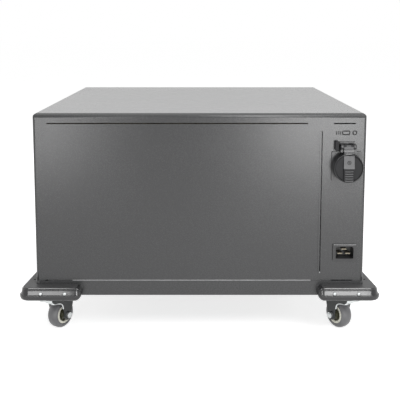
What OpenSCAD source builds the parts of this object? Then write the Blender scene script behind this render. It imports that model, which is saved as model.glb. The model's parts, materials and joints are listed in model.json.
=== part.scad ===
// Filament dryer box on four swivel casters, with a mains inlet and a lidded outlet on its service side.
// Millimetres, +Z up. The origin is on the floor, under the middle of the box.
// -Y is the service side with the mains sockets, +Y is the door side. Left is -X and right is +X.

/* [Body] */
// Width of the sheet-metal box
body_w = 550; // [500:5:640]
// Depth of the box, door included
body_d = 550; // [500:5:640]
// Height of the box without bumpers and casters
body_h = 309; // [300:1:360]
// Thickness of the outer sheet
sheet = 1.5; // [1:0.1:2]
// Outer bend radius along the top edges
top_edge_r = 8; // [5:0.5:10]
// Outer bend radius of the upright corners
corner_r = 4; // [3:0.5:6]
// Height of the top cover's folded rim
cover_rim = 16; // [12:1:24]
// Height of the base tray's rim
base_rim = 25; // [24:1:34]
// How far the base tray stands proud of the panels
base_proud = 0.8; // [0.2:0.1:1.2]

/* [Seams] */
// Gap between the top cover and the panels
top_seam = 2; // [1:0.2:3]
// Gap between the panels and the base tray
base_seam = 1.4; // [0.6:0.2:2]
// Gap between the rear panel and the socket panel, and round the door
side_seam = 2; // [1.6:0.2:3]
// Ground weld at each end of the rear panel's top seam
weld_top = 23; // [10:1:40]
// Ground weld at each end of the base seam and the upright seam
weld_base = 14; // [8:1:24]
// Depth of the flanges folded back behind the panels
flange = 12; // [8:1:16]

/* [Service column] */
// Width of the column that holds the electrics
column_w = 73; // [70:1:100]
// Distance of both sockets from the column's outer side
socket_in = 32; // [31:1:36]
// Height of the outlet's axis below the top
outlet_drop = 88; // [80:1:110]
// Height of the inlet's centre below the top
inlet_drop = 235; // [200:1:240]

/* [Mains outlet] */
// Side of the outlet's square flange
outlet_flange = 50; // [48:1:54]
// Radius of the outlet's plug recess
recess_r = 19.8; // [19.5:0.1:20.2]
// Depth of the plug recess
recess_d = 17.5; // [16:0.5:19]
// Radius of the sprung lid
lid_r = 24.3; // [23:0.1:25]
// Distance of the lid's face from the panel
lid_out = 22.5; // [20:0.5:22.5]
// Height of the lid's hinge pin above the outlet's axis
lid_hinge_up = 34; // [32:0.5:35]
// Width of the lid's middle strap
strap_w = 18; // [14:0.5:20]

/* [Mains inlet] */
// Width of the inlet's mouth
inlet_w = 29.6; // [28:0.1:31]
// Height of the inlet's mouth
inlet_h = 20.6; // [19:0.1:22]
// Border of the inlet's flange round its mouth
inlet_border = 4; // [3:0.5:6]

/* [Bumpers] */
// How far the bumpers reach beyond the box
bumper_reach = 26; // [25:0.5:30]
// Height of the half-round bumper rim
bumper_h = 22; // [18:0.5:23]
// Thickness of the bumper's foot plate under the box
foot_plate = 3; // [2.5:0.5:6]
// Length of each bumper along the service and door sides
bumper_arm_x = 104; // [95:1:140]
// Length of each bumper along the left and right sides
bumper_arm_y = 160; // [110:1:180]
// Bend of the bumper rim's centre line round the corner
bumper_bend = 10; // [6:1:12]

/* [Casters] */
// Radius of the wheel
wheel_r = 25; // [22:0.5:26]
// Width of the tyre
tyre_w = 21; // [18:0.5:22]
// Full height of the caster, floor to top plate
caster_h = 68; // [68:1:85]
// Distance from the swivel axis to the wheel axle
trail = 20; // [16:1:23]
// Distance of each swivel axis from the box's sides
caster_in = 21; // [20:1:34]
// Side of the square top plate
caster_plate = 60; // [58:1:64]

/* [Door] */
// Thickness of the door
door_t = 23; // [18:0.5:26]
// Thickness of the squeezed door seal
seal_t = 5; // [4:0.5:8]
// Distance of the hinge pins from the door's side and back face
pin_in = 7; // [6:0.5:8]
// Length of the door's pull handle
handle_len = 120; // [90:5:160]

/* [Drying chamber] */
// Inner height of the drying chamber
chamber_h = 238; // [222:1:238]
// Thickness of the liner sheet
liner_t = 1; // [0.8:0.1:1.5]
// Insulation between the liner and the left and rear panels
insulation_t = 18; // [14:1:30]
// Depth of the heater duct on the chamber's right wall
duct_d = 39; // [38:1:50]
// Radius of the spool rods
rod_r = 8; // [7:0.5:10]
// Distance of each spool rod from the chamber's middle
rod_y = 110; // [104:1:112]
// Radius of the largest spool
spool_r = 100; // [80:1:102]
// Pitch of the spools along a rod
spool_pitch = 74; // [60:1:90]

/* [Hidden] */
$fn = 48;

// Fits
run_gap = 0.05;    // radial play of a pin that turns in its bore
fixed_gap = 0.02;  // radial play of a screw or pin that stays put
snap_gap = 0.1;    // room round a piece that snaps into the sheet
cut_gap = 0.2;     // room round a piece set in a cut-out of the sheet
soft_gap = 0.3;    // room round foam, rubber and other loose pieces
end_gap = 0.03;    // end play of a caster fork between its race and the king pin's head
eps = 0.01;        // overlap of cutting tools past a face
far = 1000;        // larger than the whole box

// The box in the frame
half_w = body_w / 2;
half_d = body_d / 2;
base_z = caster_h + foot_plate;     // underside of the base tray
top_z = base_z + body_h;
cover_z = top_z - cover_rim;        // lower edge of the top cover's rim
panel_top = cover_z - top_seam;
rim_z = base_z + base_rim;          // upper edge of the base tray's rim
panel_bottom = rim_z + base_seam;
column_x = half_w - column_w;       // middle of the upright seam
wrap = 20;                          // how far the rear and front panels fold round the sides
seam_bend = 3;                      // bend radius beside the upright seam
relief_r = 1.8;                     // relief hole at the upright seam's lower end
side_seam_y = -half_d + corner_r + 2;  // where the side seams begin, past the corner's bend
front_plane = half_d - door_t - seal_t;  // face that the door seal presses on

// Service column
socket_x = half_w - socket_in;
outlet_z = top_z - outlet_drop;
inlet_z = top_z - inlet_drop;
vent_at = 60;                       // vents under the electrics, from the middle
column_open = 37;                   // open length of the column's seams
column_weld = (column_w - column_open) / 2;

// Bumpers and casters
rim_r = bumper_h / 2;
bumper_z = caster_h + rim_r;        // middle height of the bumper rim
bumper_screw_z = bumper_z + 2;
screw_seat = 2.5;                   // depth of the screw seats in the rim
screw_r = 1.6;                      // screws of the bumpers
seat_r = 3.4;
seat_x = half_w + bumper_reach - screw_seat;
seat_y = half_d + bumper_reach - screw_seat;
bumper_in = 61;                     // reach of the foot plate under the box
caster_screw_r = 2.5;
swivel_x = half_w - caster_in;
swivel_y = half_d - caster_in;
plate_t = 2.5;
hole_in = 7;                        // caster plate holes from the plate's edges
race_t = 3;
race_z = caster_h - plate_t - race_t;  // face on which the fork turns
crown_t = 3;
crown_r = 21.5;
kingpin_r = 4.5;
head_t = 2.5;                       // king pin's head below the crown
leg_t = 2.5;
leg_in = tyre_w / 2 + 5;            // inner face of each fork leg
axle_r = 3;
hub_r = wheel_r - 7;
corner_screw_at = [37, 77];         // bumper screws, from the bumper's outer end
caster_hole_at = caster_plate / 2 - hole_in;
// Turn of each caster about its swivel axis, degrees; 0 trails along +X
caster_turns = [57, 123, 300, 215];
caster_sides = [[-1, -1], [1, -1], [-1, 1], [1, 1]];

// Door
door_l = -half_w;
door_r = column_x - side_seam / 2;
door_bottom = rim_z + side_seam;
door_top = cover_z - side_seam;
door_back = half_d - door_t;
hinge_x = door_l + pin_in;
hinge_y = door_back + pin_in;
hinge_r = 3;
seal_w = 10;
seal_in = 4;                        // seal from the chamber's opening
handle_reach = 25;

// Chamber, inner faces
chamber_l = -half_w + sheet + insulation_t;
chamber_r = column_x - 22;
chamber_back = -half_d + sheet + insulation_t;
chamber_top = cover_z - 16;
chamber_floor = chamber_top - chamber_h;
duct_x = chamber_r - duct_d;        // face of the heater duct
duct_half = 150;                    // half length of the duct along Y
chamber_mid = (chamber_back + front_plane - sheet) / 2;
rod_z = (chamber_top + chamber_floor) / 2;
cradle_t = 9;
journal_r = rod_r - 3;
fan_size = 120;
fan_t = 25;
grille_r = 54;                      // radius of the duct's round grille
fan_x = duct_x + 9;                 // face of the fan nearest the grille
fan_z = rod_z - 22;
heater_z = fan_z + fan_size / 2 + 8;
heater_h = 34;
heater_half = 66;                   // half length of the heater along Y
fin_pitch = 7;
fin_t = 1.2;
cable_hole_r = 5;
blade_len = 34;                     // fan blades, beyond the rotor's hub

// ---------- helpers ----------

module block(lo, hi) translate(lo) cube([hi.x - lo.x, hi.y - lo.y, hi.z - lo.z]);

module area(lo, hi) translate(lo) square([hi.x - lo.x, hi.y - lo.y]);

// Rectangle with round corners, centred
module round_rect(w, d, r) {
  square([w - 2 * r, d], center = true);
  square([w, d - 2 * r], center = true);
  for (sx = [-1, 1], sy = [-1, 1])
    translate([sx * (w / 2 - r), sy * (d / 2 - r)]) circle(r);
}

// What a round corner of radius r takes away at p; s points out of the corner
module corner_waste(p, s, r) {
  difference() {
    translate([p.x - s.x * (r / 2 - eps), p.y - s.y * (r / 2 - eps)]) square(r + 2 * eps, center = true);
    translate([p.x - s.x * r, p.y - s.y * r]) circle(r);
  }
}

// Rectangle from lo to hi whose four corners have the radii rr, from lower left, anticlockwise
module cornered(lo, hi, rr) {
  difference() {
    area(lo, hi);
    corner_waste([lo.x, lo.y], [-1, -1], rr[0]);
    corner_waste([hi.x, lo.y], [1, -1], rr[1]);
    corner_waste([hi.x, hi.y], [1, 1], rr[2]);
    corner_waste([lo.x, hi.y], [-1, 1], rr[3]);
  }
}

module along_x(x0, x1) translate([x0, 0, 0]) rotate([90, 0, 90]) linear_extrude(x1 - x0) children();

module rod_x(x0, x1, r) translate([x0, 0, 0]) rotate([0, 90, 0]) cylinder(h = x1 - x0, r = r);

module rod_y(y0, y1, r) translate([0, y1, 0]) rotate([90, 0, 0]) cylinder(h = y1 - y0, r = r);

module rod_z(z0, z1, r) translate([0, 0, z0]) cylinder(h = z1 - z0, r = r);

// Plan outline of the box wall, t thick and moved out by grow
module wall_plan(grow, t) {
  difference() {
    round_rect(body_w + 2 * grow, body_d + 2 * grow, corner_r + grow);
    round_rect(body_w + 2 * grow - 2 * t, body_d + 2 * grow - 2 * t, corner_r + grow - t);
  }
}

// Block with round top edges and round upright corners, inset from the box all round
module envelope(inset, z0) {
  w = body_w - 2 * inset;
  d = body_d - 2 * inset;
  h = 2 * (top_z - inset - z0);
  r = top_edge_r - inset;
  intersection() {
    translate([0, 0, z0]) linear_extrude(h) round_rect(w, d, corner_r - inset);
    translate([0, d / 2 + 1, z0]) rotate([90, 0, 0]) linear_extrude(d + 2) round_rect(w, h, r);
    translate([-w / 2 - 1, 0, z0]) rotate([90, 0, 90]) linear_extrude(w + 2) round_rect(d, h, r);
  }
}

// Upright panel folded back at both ends, outer face at y0, sheet thick, facing -Y
module folded_plan(x0, x1, y0, r0, r1, leg0, leg1) {
  deep = max(leg0, leg1) + 10;
  difference() {
    cornered([x0, y0], [x1, y0 + 2 * deep], [r0, r1, sheet, sheet]);
    cornered([x0 + sheet, y0 + sheet], [x1 - sheet, y0 + 3 * deep], [r0 - sheet, r1 - sheet, eps, eps]);
    area([x0 - 1, y0 + leg0], [(x0 + x1) / 2, y0 + 4 * deep]);
    area([(x0 + x1) / 2 - eps, y0 + leg1], [x1 + 1, y0 + 4 * deep]);
  }
}

// Puts a child made for the right front corner at the corners named by the signs in sides
module at_corners(sides) {
  for (s = sides) mirror([s.x < 0 ? 1 : 0, 0, 0]) mirror([0, s.y < 0 ? 1 : 0, 0]) children();
}

// ---------- sheet metal ----------

// Tray that carries everything, with a rim that stands slightly proud of the panels
module base_tray() {
  shelf_y = front_plane - sheet;
  color("dimgray") difference() {
    union() {
      translate([0, 0, base_z]) linear_extrude(base_rim) wall_plan(base_proud, sheet);
      translate([0, 0, base_z]) linear_extrude(sheet)
        round_rect(body_w + base_proud, body_d + base_proud, corner_r);
      block([-half_w, shelf_y, rim_z - sheet], [column_x, half_d, rim_z]);  // folded shelf below the door
    }
    for (i = [0:5], y = [-vent_at, vent_at])                                 // vents under the electrics
      block([column_x + 14 + 8 * i, y - 30, base_z - 1], [column_x + 18 + 8 * i, y + 30, base_z + sheet + 1]);
    translate([hinge_x, hinge_y, 0]) rod_z(rim_z - sheet - 1, rim_z + 1, hinge_r + fixed_gap);
    at_corners(caster_sides) bumper_screw_holes(screw_r + fixed_gap);
  }
}

// Top sheet with a folded rim on all sides, and the door's head shelf
module top_cover() {
  color("gray") difference() {
    union() {
      difference() {
        envelope(0, cover_z);
        envelope(sheet, cover_z - 1);
        block([-far, -far, 0], [far, far, cover_z]);
        block([-far, -far, top_z + eps], [far, far, 2 * far]);
      }
      block([-half_w + sheet, front_plane - sheet, cover_z], [column_x, half_d - sheet, cover_z + sheet]);
    }
    translate([hinge_x, hinge_y, 0]) rod_z(cover_z - 1, cover_z + sheet + 1, hinge_r + fixed_gap);
  }
}

// Large fixed panel of the service side; its seams are open between the ground welds
module rear_panel() {
  x1 = column_x - side_seam / 2;
  color("dimgray") difference() {
    union() {
      translate([0, 0, rim_z]) linear_extrude(cover_z - rim_z)
        folded_plan(-half_w, x1, -half_d, corner_r, seam_bend, wrap, flange);
      for (z = [panel_top - sheet, panel_bottom])
        block([-half_w + weld_top, -half_d + sheet / 2, z], [x1 - weld_top, -half_d + flange, z + sheet]);
      for (z = [rim_z, cover_z - weld_base])                                 // weld tabs at the upright seam
        block([x1 - seam_bend, -half_d, z], [column_x, -half_d + sheet, z + weld_base]);
    }
    block([-half_w + weld_top, -half_d - 1, panel_top], [x1 - weld_top, -half_d + wrap + 1, cover_z + 1]);
    block([-half_w + weld_base, -half_d - 1, rim_z - 1], [x1 - weld_base, -half_d + wrap + 1, panel_bottom]);
    translate([column_x, 0, rim_z + weld_base]) rod_y(-half_d - 1, -half_d + sheet + 1, relief_r);
    block([-half_w - 1, side_seam_y, panel_top], [-half_w + wrap, -half_d + wrap + 1, cover_z + 1]);
    block([-half_w - 1, side_seam_y, rim_z - 1], [-half_w + wrap, -half_d + wrap + 1, panel_bottom]);
  }
}

// Narrow panel with the mains outlet and inlet
module socket_panel() {
  x0 = column_x + side_seam / 2;
  mid = (x0 + half_w) / 2;
  color("dimgray") difference() {
    union() {
      translate([0, 0, rim_z]) linear_extrude(cover_z - rim_z)
        folded_plan(x0, half_w, -half_d, seam_bend, corner_r, flange, wrap);
      for (z = [rim_z, cover_z - weld_base])
        block([column_x, -half_d, z], [x0 + seam_bend, -half_d + sheet, z + weld_base]);
    }
    block([x0 + column_weld, -half_d - 1, panel_top], [half_w - column_weld, -half_d + wrap, cover_z + 1]);
    block([x0 + column_weld, -half_d - 1, rim_z - 1], [half_w - column_weld, -half_d + wrap, panel_bottom]);
    block([half_w - wrap, side_seam_y, panel_top], [half_w + 1, -half_d + wrap + 1, cover_z + 1]);
    block([half_w - wrap, side_seam_y, rim_z - 1], [half_w + 1, -half_d + wrap + 1, panel_bottom]);
    translate([socket_x, 0, outlet_z]) rod_y(-half_d - 1, -half_d + sheet + 1, outlet_cup_r + soft_gap);
    translate([column_x, 0, rim_z + weld_base]) rod_y(-half_d - 1, -half_d + sheet + 1, relief_r);
    for (p = outlet_holes) translate([socket_x + p.x, 0, outlet_z + p.y])
      rod_y(-half_d - 1, -half_d + sheet + 1, flange_screw_r + fixed_gap);
    translate([socket_x, 0, inlet_z])
      block([-inlet_case_w / 2 - cut_gap, -half_d - 1, -inlet_case_h / 2 - cut_gap],
            [inlet_case_w / 2 + cut_gap, -half_d + sheet + 1, inlet_case_h / 2 + cut_gap]);
  }
}

// Side sheets, between the folded ends of the rear and front panels
module side_panel_left() {
  color("dimgray") {
    translate([0, 0, panel_bottom]) linear_extrude(panel_top - panel_bottom)
      area([-half_w, -half_d + wrap], [-half_w + sheet, front_plane - sheet]);
    for (z = [panel_bottom, panel_top - sheet])
      block([-half_w + sheet, -half_d + wrap + 10, z], [-half_w + flange, front_plane - 10, z + sheet]);
  }
}

module side_panel_right() {
  color("dimgray") {
    translate([0, 0, panel_bottom]) linear_extrude(panel_top - panel_bottom)
      area([half_w - sheet, -half_d + wrap], [half_w, half_d - wrap]);
    for (z = [panel_bottom, panel_top - sheet])
      block([half_w - flange, -half_d + wrap + 10, z], [half_w - sheet, half_d - wrap - 10, z + sheet]);
  }
}

// Frame round the chamber's opening, which the door seal presses on
module door_frame() {
  color("dimgray") difference() {
    block([-half_w, front_plane - sheet, rim_z], [column_x - sheet, front_plane, cover_z]);
    block([chamber_l, front_plane - sheet - 1, chamber_floor], [chamber_r, front_plane + 1, chamber_top]);
    for (z = magnet_zs) block([magnet_x, front_plane - sheet - 1, z],
                              [magnet_x + magnet_w, front_plane + 1, z + magnet_h]);
  }
}

// Front of the electrics column
module control_panel() {
  x0 = column_x + side_seam / 2;
  color("dimgray") difference() {
    union() {
      translate([0, 0, rim_z]) mirror([0, 1, 0]) linear_extrude(cover_z - rim_z)
        folded_plan(x0, half_w, -half_d, seam_bend, corner_r, door_t + seal_t, wrap);
    }
    block([x0 + column_weld, half_d - wrap, panel_top], [half_w - column_weld, half_d + 1, cover_z + 1]);
    block([x0 + column_weld, half_d - wrap, rim_z - 1], [half_w - column_weld, half_d + 1, panel_bottom]);
    translate([control_x, 0, 0]) {
      block([-display_w / 2 - snap_gap, half_d - 5, display_z - display_h / 2 - snap_gap],
            [display_w / 2 + snap_gap, half_d + 1, display_z + display_h / 2 + snap_gap]);
      block([-switch_w / 2 - snap_gap, half_d - 5, switch_z - switch_h / 2 - snap_gap],
            [switch_w / 2 + snap_gap, half_d + 1, switch_z + switch_h / 2 + snap_gap]);
      translate([0, 0, knob_z]) rod_y(half_d - 5, half_d + 1, encoder_r + fixed_gap);
    }
  }
}

// Wall between the insulated chamber and the electrics
module bay_wall() {
  color("silver") block([column_x - sheet, -half_d + flange + 1, base_z + sheet],
                        [column_x, front_plane - sheet, cover_z]);
}

// ---------- drying chamber ----------

// Open-fronted tub of thin sheet that holds the spools
module chamber_liner() {
  t = liner_t;
  color("silver") difference() {
    block([chamber_l - t, chamber_back - t, chamber_floor - t],
          [chamber_r + t, front_plane - sheet, chamber_top + t]);
    block([chamber_l, chamber_back, chamber_floor], [chamber_r, front_plane + 1, chamber_top]);
    translate([0, chamber_mid, fan_z]) rod_x(chamber_r - 1, chamber_r + t + 1, cable_hole_r);
  }
}

// Foam round the liner
module insulation() {
  t = liner_t;
  color("khaki") difference() {
    block([-half_w + flange + 1, -half_d + flange + 1, base_z + sheet],
          [column_x - sheet, front_plane - sheet, cover_z - soft_gap]);
    block([chamber_l - t, chamber_back - t, chamber_floor - t],
          [chamber_r + t, front_plane + 1, chamber_top + t]);
    translate([0, chamber_mid, fan_z]) rod_x(chamber_r - 1, column_x + 1, cable_hole_r);
    for (z = magnet_zs)
      block([magnet_x - soft_gap, front_plane - magnet_in - 1, z - soft_gap],
            [magnet_x + magnet_w + soft_gap, front_plane + 1, z + magnet_h + soft_gap]);
  }
}

// Folded cover over the fan and heater, with an intake grille and outlet slots
module duct_cover() {
  t = 1.2;
  z0 = chamber_floor + 8;
  z1 = chamber_top - 8;
  slots = 11;
  color("silver") difference() {
    block([duct_x, chamber_mid - duct_half, z0], [chamber_r, chamber_mid + duct_half, z1]);
    block([duct_x + t, chamber_mid - duct_half + t, z0 + t],
          [chamber_r + 1, chamber_mid + duct_half - t, z1 - t]);
    for (i = [0:slots - 1]) {
      dz = (i - (slots - 1) / 2) * 9;
      half = sqrt(grille_r * grille_r - dz * dz);
      block([duct_x - 1, chamber_mid - half, fan_z + dz - 2.5],
            [duct_x + t + 1, chamber_mid + half, fan_z + dz + 2.5]);
    }
    for (i = [0:8]) {
      y = chamber_mid + (i - 4) * 30;
      block([duct_x - 1, y - 11, z1 - 22], [duct_x + t + 1, y + 11, z1 - 17]);
      block([duct_x - 1, y - 11, z1 - 13], [duct_x + t + 1, y + 11, z1 - 8]);
    }
  }
}

// Axial fan, frame and rotor
module fan_frame() {
  s = fan_size;
  color("#202020") translate([0, chamber_mid, fan_z]) difference() {
    union() {
      difference() {
        block([fan_x, -s / 2, -s / 2], [fan_x + fan_t, s / 2, s / 2]);
        rod_x(fan_x - 1, fan_x + fan_t + 1, s / 2 - 3);
      }
      rod_x(fan_x + fan_t - 4, fan_x + fan_t, 20);
      for (a = [45:90:315])
        rotate([a, 0, 0]) block([fan_x + fan_t - 4, 0, -2], [fan_x + fan_t, s / 2 - 2, 2]);
      rod_x(fan_x + fan_t, chamber_r, 12);                                   // spacer to the liner wall
    }
    rod_x(fan_x + fan_t - 5, chamber_r + 1, 2 + run_gap);
    for (sy = [-1, 1], sz = [-1, 1]) translate([0, sy * (s / 2 - 7.5), sz * (s / 2 - 7.5)])
      rod_x(fan_x - 1, fan_x + fan_t + 1, 2.2);
  }
}

module fan_rotor() {
  blades = 7;
  color("#2a2a2a") translate([0, chamber_mid, fan_z]) {
    rod_x(fan_x + 2, fan_x + fan_t - 4.5, 20);
    rod_x(fan_x + fan_t - 5, fan_x + fan_t + 4, 2);
    for (i = [0:blades - 1]) rotate([i * 360 / blades, 0, 0]) translate([fan_x + 11, 19, 0])
      rotate([0, 35, 0]) block([-0.8, 0, -13], [0.8, blade_len, 13]);
  }
}

// Finned heater above the fan
module heater_block() {
  n = floor((2 * heater_half - 6) / fin_pitch);
  bar_t = 6;
  bracket_y = heater_half - 2;
  color("silver") translate([0, chamber_mid, heater_z]) {
    for (z = [4, heater_h - 4 - bar_t])
      block([fan_x + 6, -heater_half, z], [fan_x + fan_t - 5, heater_half, z + bar_t]);
    for (i = [0:n - 1]) {
      y = (i - (n - 1) / 2) * fin_pitch;
      block([fan_x + 3, y - fin_t / 2, 0], [fan_x + fan_t - 2, y + fin_t / 2, heater_h]);
    }
    for (sy = [-1, 1])
      block([fan_x + 4, sy * bracket_y - 2, 2], [chamber_r, sy * bracket_y + 2, heater_h - 2]);
  }
}

cradle_wall = 6;                          // plastic round each rod
cradle_drop = 30;

// Plastic cradles that hold the rods' ends
module rod_cradles() {
  color("#303030") for (sy = [-1, 1], right = [0, 1]) translate([0, chamber_mid + sy * rod_y, rod_z])
    difference() {
      union() {
        x0 = right ? duct_x - cradle_t : chamber_l;
        rod_x(x0, x0 + cradle_t, rod_r + cradle_wall);
        block([x0, -rod_r - cradle_wall, -cradle_drop], [x0 + cradle_t, rod_r + cradle_wall, 0]);
      }
      x1 = right ? duct_x - cradle_t - 1 : chamber_l + 1.5;
      rod_x(x1, x1 + cradle_t - 0.5, journal_r + run_gap);
    }
}

// Rod with turned journals and collars that keep the spools apart
module spool_rod(sy) {
  x0 = chamber_l + cradle_t + soft_gap;
  x1 = duct_x - cradle_t - soft_gap;
  stations = floor((x1 - x0 - 4) / spool_pitch);
  mid = (x0 + x1) / 2;
  color("lightgray") translate([0, chamber_mid + sy * rod_y, rod_z]) {
    rod_x(x0, x1, rod_r);
    rod_x(chamber_l + 2, duct_x - 2, journal_r);
    for (i = [0:stations]) {
      x = mid + (i - stations / 2) * spool_pitch;
      rod_x(x - 1.5, x + 1.5, spool_r / 4);
    }
  }
}

// ---------- door ----------

module door_plan(inset) {
  cornered([door_l + inset, door_back + inset], [door_r - inset, half_d - inset],
           [pin_in - inset, 3 - inset, 3 - inset, corner_r - inset]);
}

// Folded steel pan
module door_skin() {
  color("dimgray") difference() {
    translate([0, 0, door_bottom]) linear_extrude(door_top - door_bottom) door_plan(0);
    translate([0, 0, door_bottom + sheet])
      linear_extrude(door_top - door_bottom - 2 * sheet) door_plan(sheet);
    block([chamber_l + 2, door_back - 1, chamber_floor + 2],
          [chamber_r - 2, door_back + sheet + 1, chamber_top - 2]);
    translate([hinge_x, hinge_y, 0]) {
      rod_z(door_bottom - 1, door_bottom + sheet + 1, hinge_r + run_gap);
      rod_z(door_top - sheet - 1, door_top + 1, hinge_r + run_gap);
    }
    for (z = handle_ends)
      translate([handle_x, 0, z]) rod_y(half_d - sheet - 1, half_d + 1, handle_screw_r + fixed_gap);
  }
}

// Foam slab inside the pan, with room for the pins and the handle's screws
module door_core() {
  g = sheet + soft_gap;
  lo = [hinge_x + hinge_r + 4, door_back + sheet + liner_t];
  hi = [door_r - g, half_d - sheet];
  color("khaki") difference() {
    translate([0, 0, door_bottom + g]) linear_extrude(door_top - door_bottom - 2 * g)
      difference() {
        area(lo, hi);
        corner_waste(hi, [1, 1], 4);                                         // clears the pan's bend
      }
    for (z = handle_ends) translate([handle_x, 0, z]) rod_y(half_d - sheet - 12, half_d, 6);
  }
}

// Inner plate of the door: its rim lies behind the pan's opening and its middle stands through it
module door_liner() {
  lo = [chamber_l + 2, chamber_floor + 2];
  hi = [chamber_r - 2, chamber_top - 2];
  color("silver") {
    block([lo.x - 5, door_back + sheet, lo.y - 5], [hi.x + 5, door_back + sheet + liner_t, hi.y + 5]);
    block([lo.x + cut_gap, door_back - 1, lo.y + cut_gap],
          [hi.x - cut_gap, door_back + sheet + liner_t, hi.y - cut_gap]);
  }
}

module door_seal() {
  lo = [chamber_l - seal_in - seal_w, chamber_floor - seal_in - seal_w];
  hi = [chamber_r + seal_in + seal_w, chamber_top + seal_in + seal_w];
  color("#1a1a1a") difference() {
    block([lo.x, front_plane + soft_gap, max(lo.y, door_bottom + 1)],
          [hi.x, door_back, min(hi.y, door_top - 1)]);
    block([chamber_l - seal_in, front_plane - 1, chamber_floor - seal_in],
          [chamber_r + seal_in, door_back + 1, chamber_top + seal_in]);
  }
}

handle_in = 28;                           // handle from the door's free edge
handle_x = door_r - handle_in;
handle_mid = (door_top + door_bottom) / 2;
handle_ends = [handle_mid - handle_len / 2, handle_mid + handle_len / 2];
handle_screw_r = 2.5;

// Bow handle with its two screws
module door_handle() {
  r = 4.5;
  y = half_d + handle_reach - r;
  color("#202020") {
    for (s = [-1, 1]) translate([handle_x, 0, handle_mid + s * handle_len / 2]) {
      rod_y(half_d, y, r);
      translate([0, y, 0]) sphere(r);
      rod_y(half_d, half_d + 3, 8);
      rod_y(half_d - 8, half_d + 1, handle_screw_r);
    }
    translate([handle_x, y, 0]) rod_z(handle_ends[0], handle_ends[1], r);
  }
}

// Pivot pins in the tray's shelf and the cover's shelf
module hinge_pins() {
  color("silver") translate([hinge_x, hinge_y, 0]) {
    rod_z(rim_z - sheet, door_bottom + sheet + 4, hinge_r);
    rod_z(rim_z - sheet - 2, rim_z - sheet, hinge_r + 2);
    rod_z(door_top - sheet - 4, cover_z + sheet, hinge_r);
    rod_z(cover_z + sheet, cover_z + sheet + 2, hinge_r + 2);
  }
}

magnet_w = 4;
magnet_h = 40;
magnet_x = chamber_r + seal_in + seal_w + 1.5;
magnet_in = 8;                            // depth of the magnets behind the frame
magnet_at = 60;                           // magnets from the frame's ends
magnet_zs = [rim_z + magnet_at, cover_z - magnet_at - magnet_h];

// Magnetic catches that hold the steel door
module door_magnets() {
  color("#303030") for (z = magnet_zs)
    block([magnet_x, front_plane - magnet_in, z], [magnet_x + magnet_w, door_back - soft_gap, z + magnet_h]);
}

// ---------- mains outlet ----------

outlet_cup_r = 21.8;
outlet_hole_at = outlet_flange / 2 - 6;
outlet_holes = [[outlet_hole_at, outlet_hole_at], [-outlet_hole_at, -outlet_hole_at]];
flange_screw_r = 1.5;
pin_pitch = 9.5;                          // contacts from the outlet's axis
sleeve_r = 3.2;
sleeve_len = 20;                          // sleeve ends, from the cup floor
sleeve_bore_len = 14;
cup_stock = 14;                           // body behind the cup floor
ear_out = 12.5;                           // outer face of each hinge ear
ear_w = 4.3;
cup_out = 13;                             // how far the collar stands off the panel
lid_t = 2.5;
lid_cut_low = 10;                         // the lid's back is open here, past the flange and ears
lid_cut_high = 40;
lid_pin_out = 13.5;                       // hinge pin line from the panel
hinge_lid_y = -half_d - lid_pin_out;
hinge_lid_z = outlet_z + lid_hinge_up;
lid_pin_r = 1.5;
knuckle_r = 4;
cup_floor = -half_d - cup_out + recess_d;

// Square flange, round collar and cup, with hinge ears above
module outlet_body() {
  s = outlet_flange;
  color("#1c1c1c") translate([socket_x, 0, 0]) difference() {
    union() {
      translate([0, 0, outlet_z]) {
        translate([0, -half_d, 0]) rotate([90, 0, 0]) linear_extrude(3) round_rect(s, s, 3);
        rod_y(-half_d - cup_out, -half_d - 2, outlet_cup_r);
        rod_y(-half_d, cup_floor + cup_stock, outlet_cup_r);
      }
      for (x = [-ear_out, ear_out - ear_w]) {                                // hinge ears
        translate([x, hinge_lid_y, hinge_lid_z]) rod_x(0, ear_w, knuckle_r);
        block([x, hinge_lid_y, outlet_z + s / 2], [x + ear_w, -half_d, hinge_lid_z]);
        block([x, hinge_lid_y, hinge_lid_z - 1], [x + ear_w, -half_d, hinge_lid_z + knuckle_r]);
      }
      block([-ear_out, -half_d - 3, outlet_z + s / 2 - 1],
            [ear_out, -half_d, hinge_lid_z + knuckle_r + 3]);
    }
    translate([0, 0, outlet_z]) {
      rod_y(-half_d - cup_out - 1, cup_floor, recess_r);
      for (x = [-pin_pitch, pin_pitch]) translate([x, 0, 0]) rod_y(cup_floor - 1, cup_floor + 15, sleeve_r);
    }
    for (z = [-1, 1]) translate([0, 0, outlet_z + z * (recess_r + 0.7)])
      block([-3, -half_d - cup_out + 3, -0.9], [3, cup_floor + 10, 0.9]);
    for (p = outlet_holes)
      translate([p.x, 0, outlet_z + p.y]) rod_y(-half_d - 4, -half_d + 0.5, flange_screw_r + fixed_gap);
    translate([0, hinge_lid_y, hinge_lid_z]) rod_x(-12, 12, lid_pin_r + fixed_gap);
  }
}

// Two contact sleeves and two earth clips
module outlet_contacts() {
  color("gold") translate([socket_x, 0, outlet_z]) {
    for (x = [-pin_pitch, pin_pitch]) translate([x, 0, 0]) difference() {
      rod_y(cup_floor + 2, cup_floor + sleeve_len, sleeve_r - fixed_gap);
      rod_y(cup_floor + 1, cup_floor + sleeve_bore_len, 2.5);
    }
    for (s = [-1, 1]) block([-2.5, -half_d - cup_out + 4, s * (recess_r + 0.3) - 0.5],
                            [2.5, cup_floor + 9, s * (recess_r + 0.3) + 0.5]);
  }
}

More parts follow.
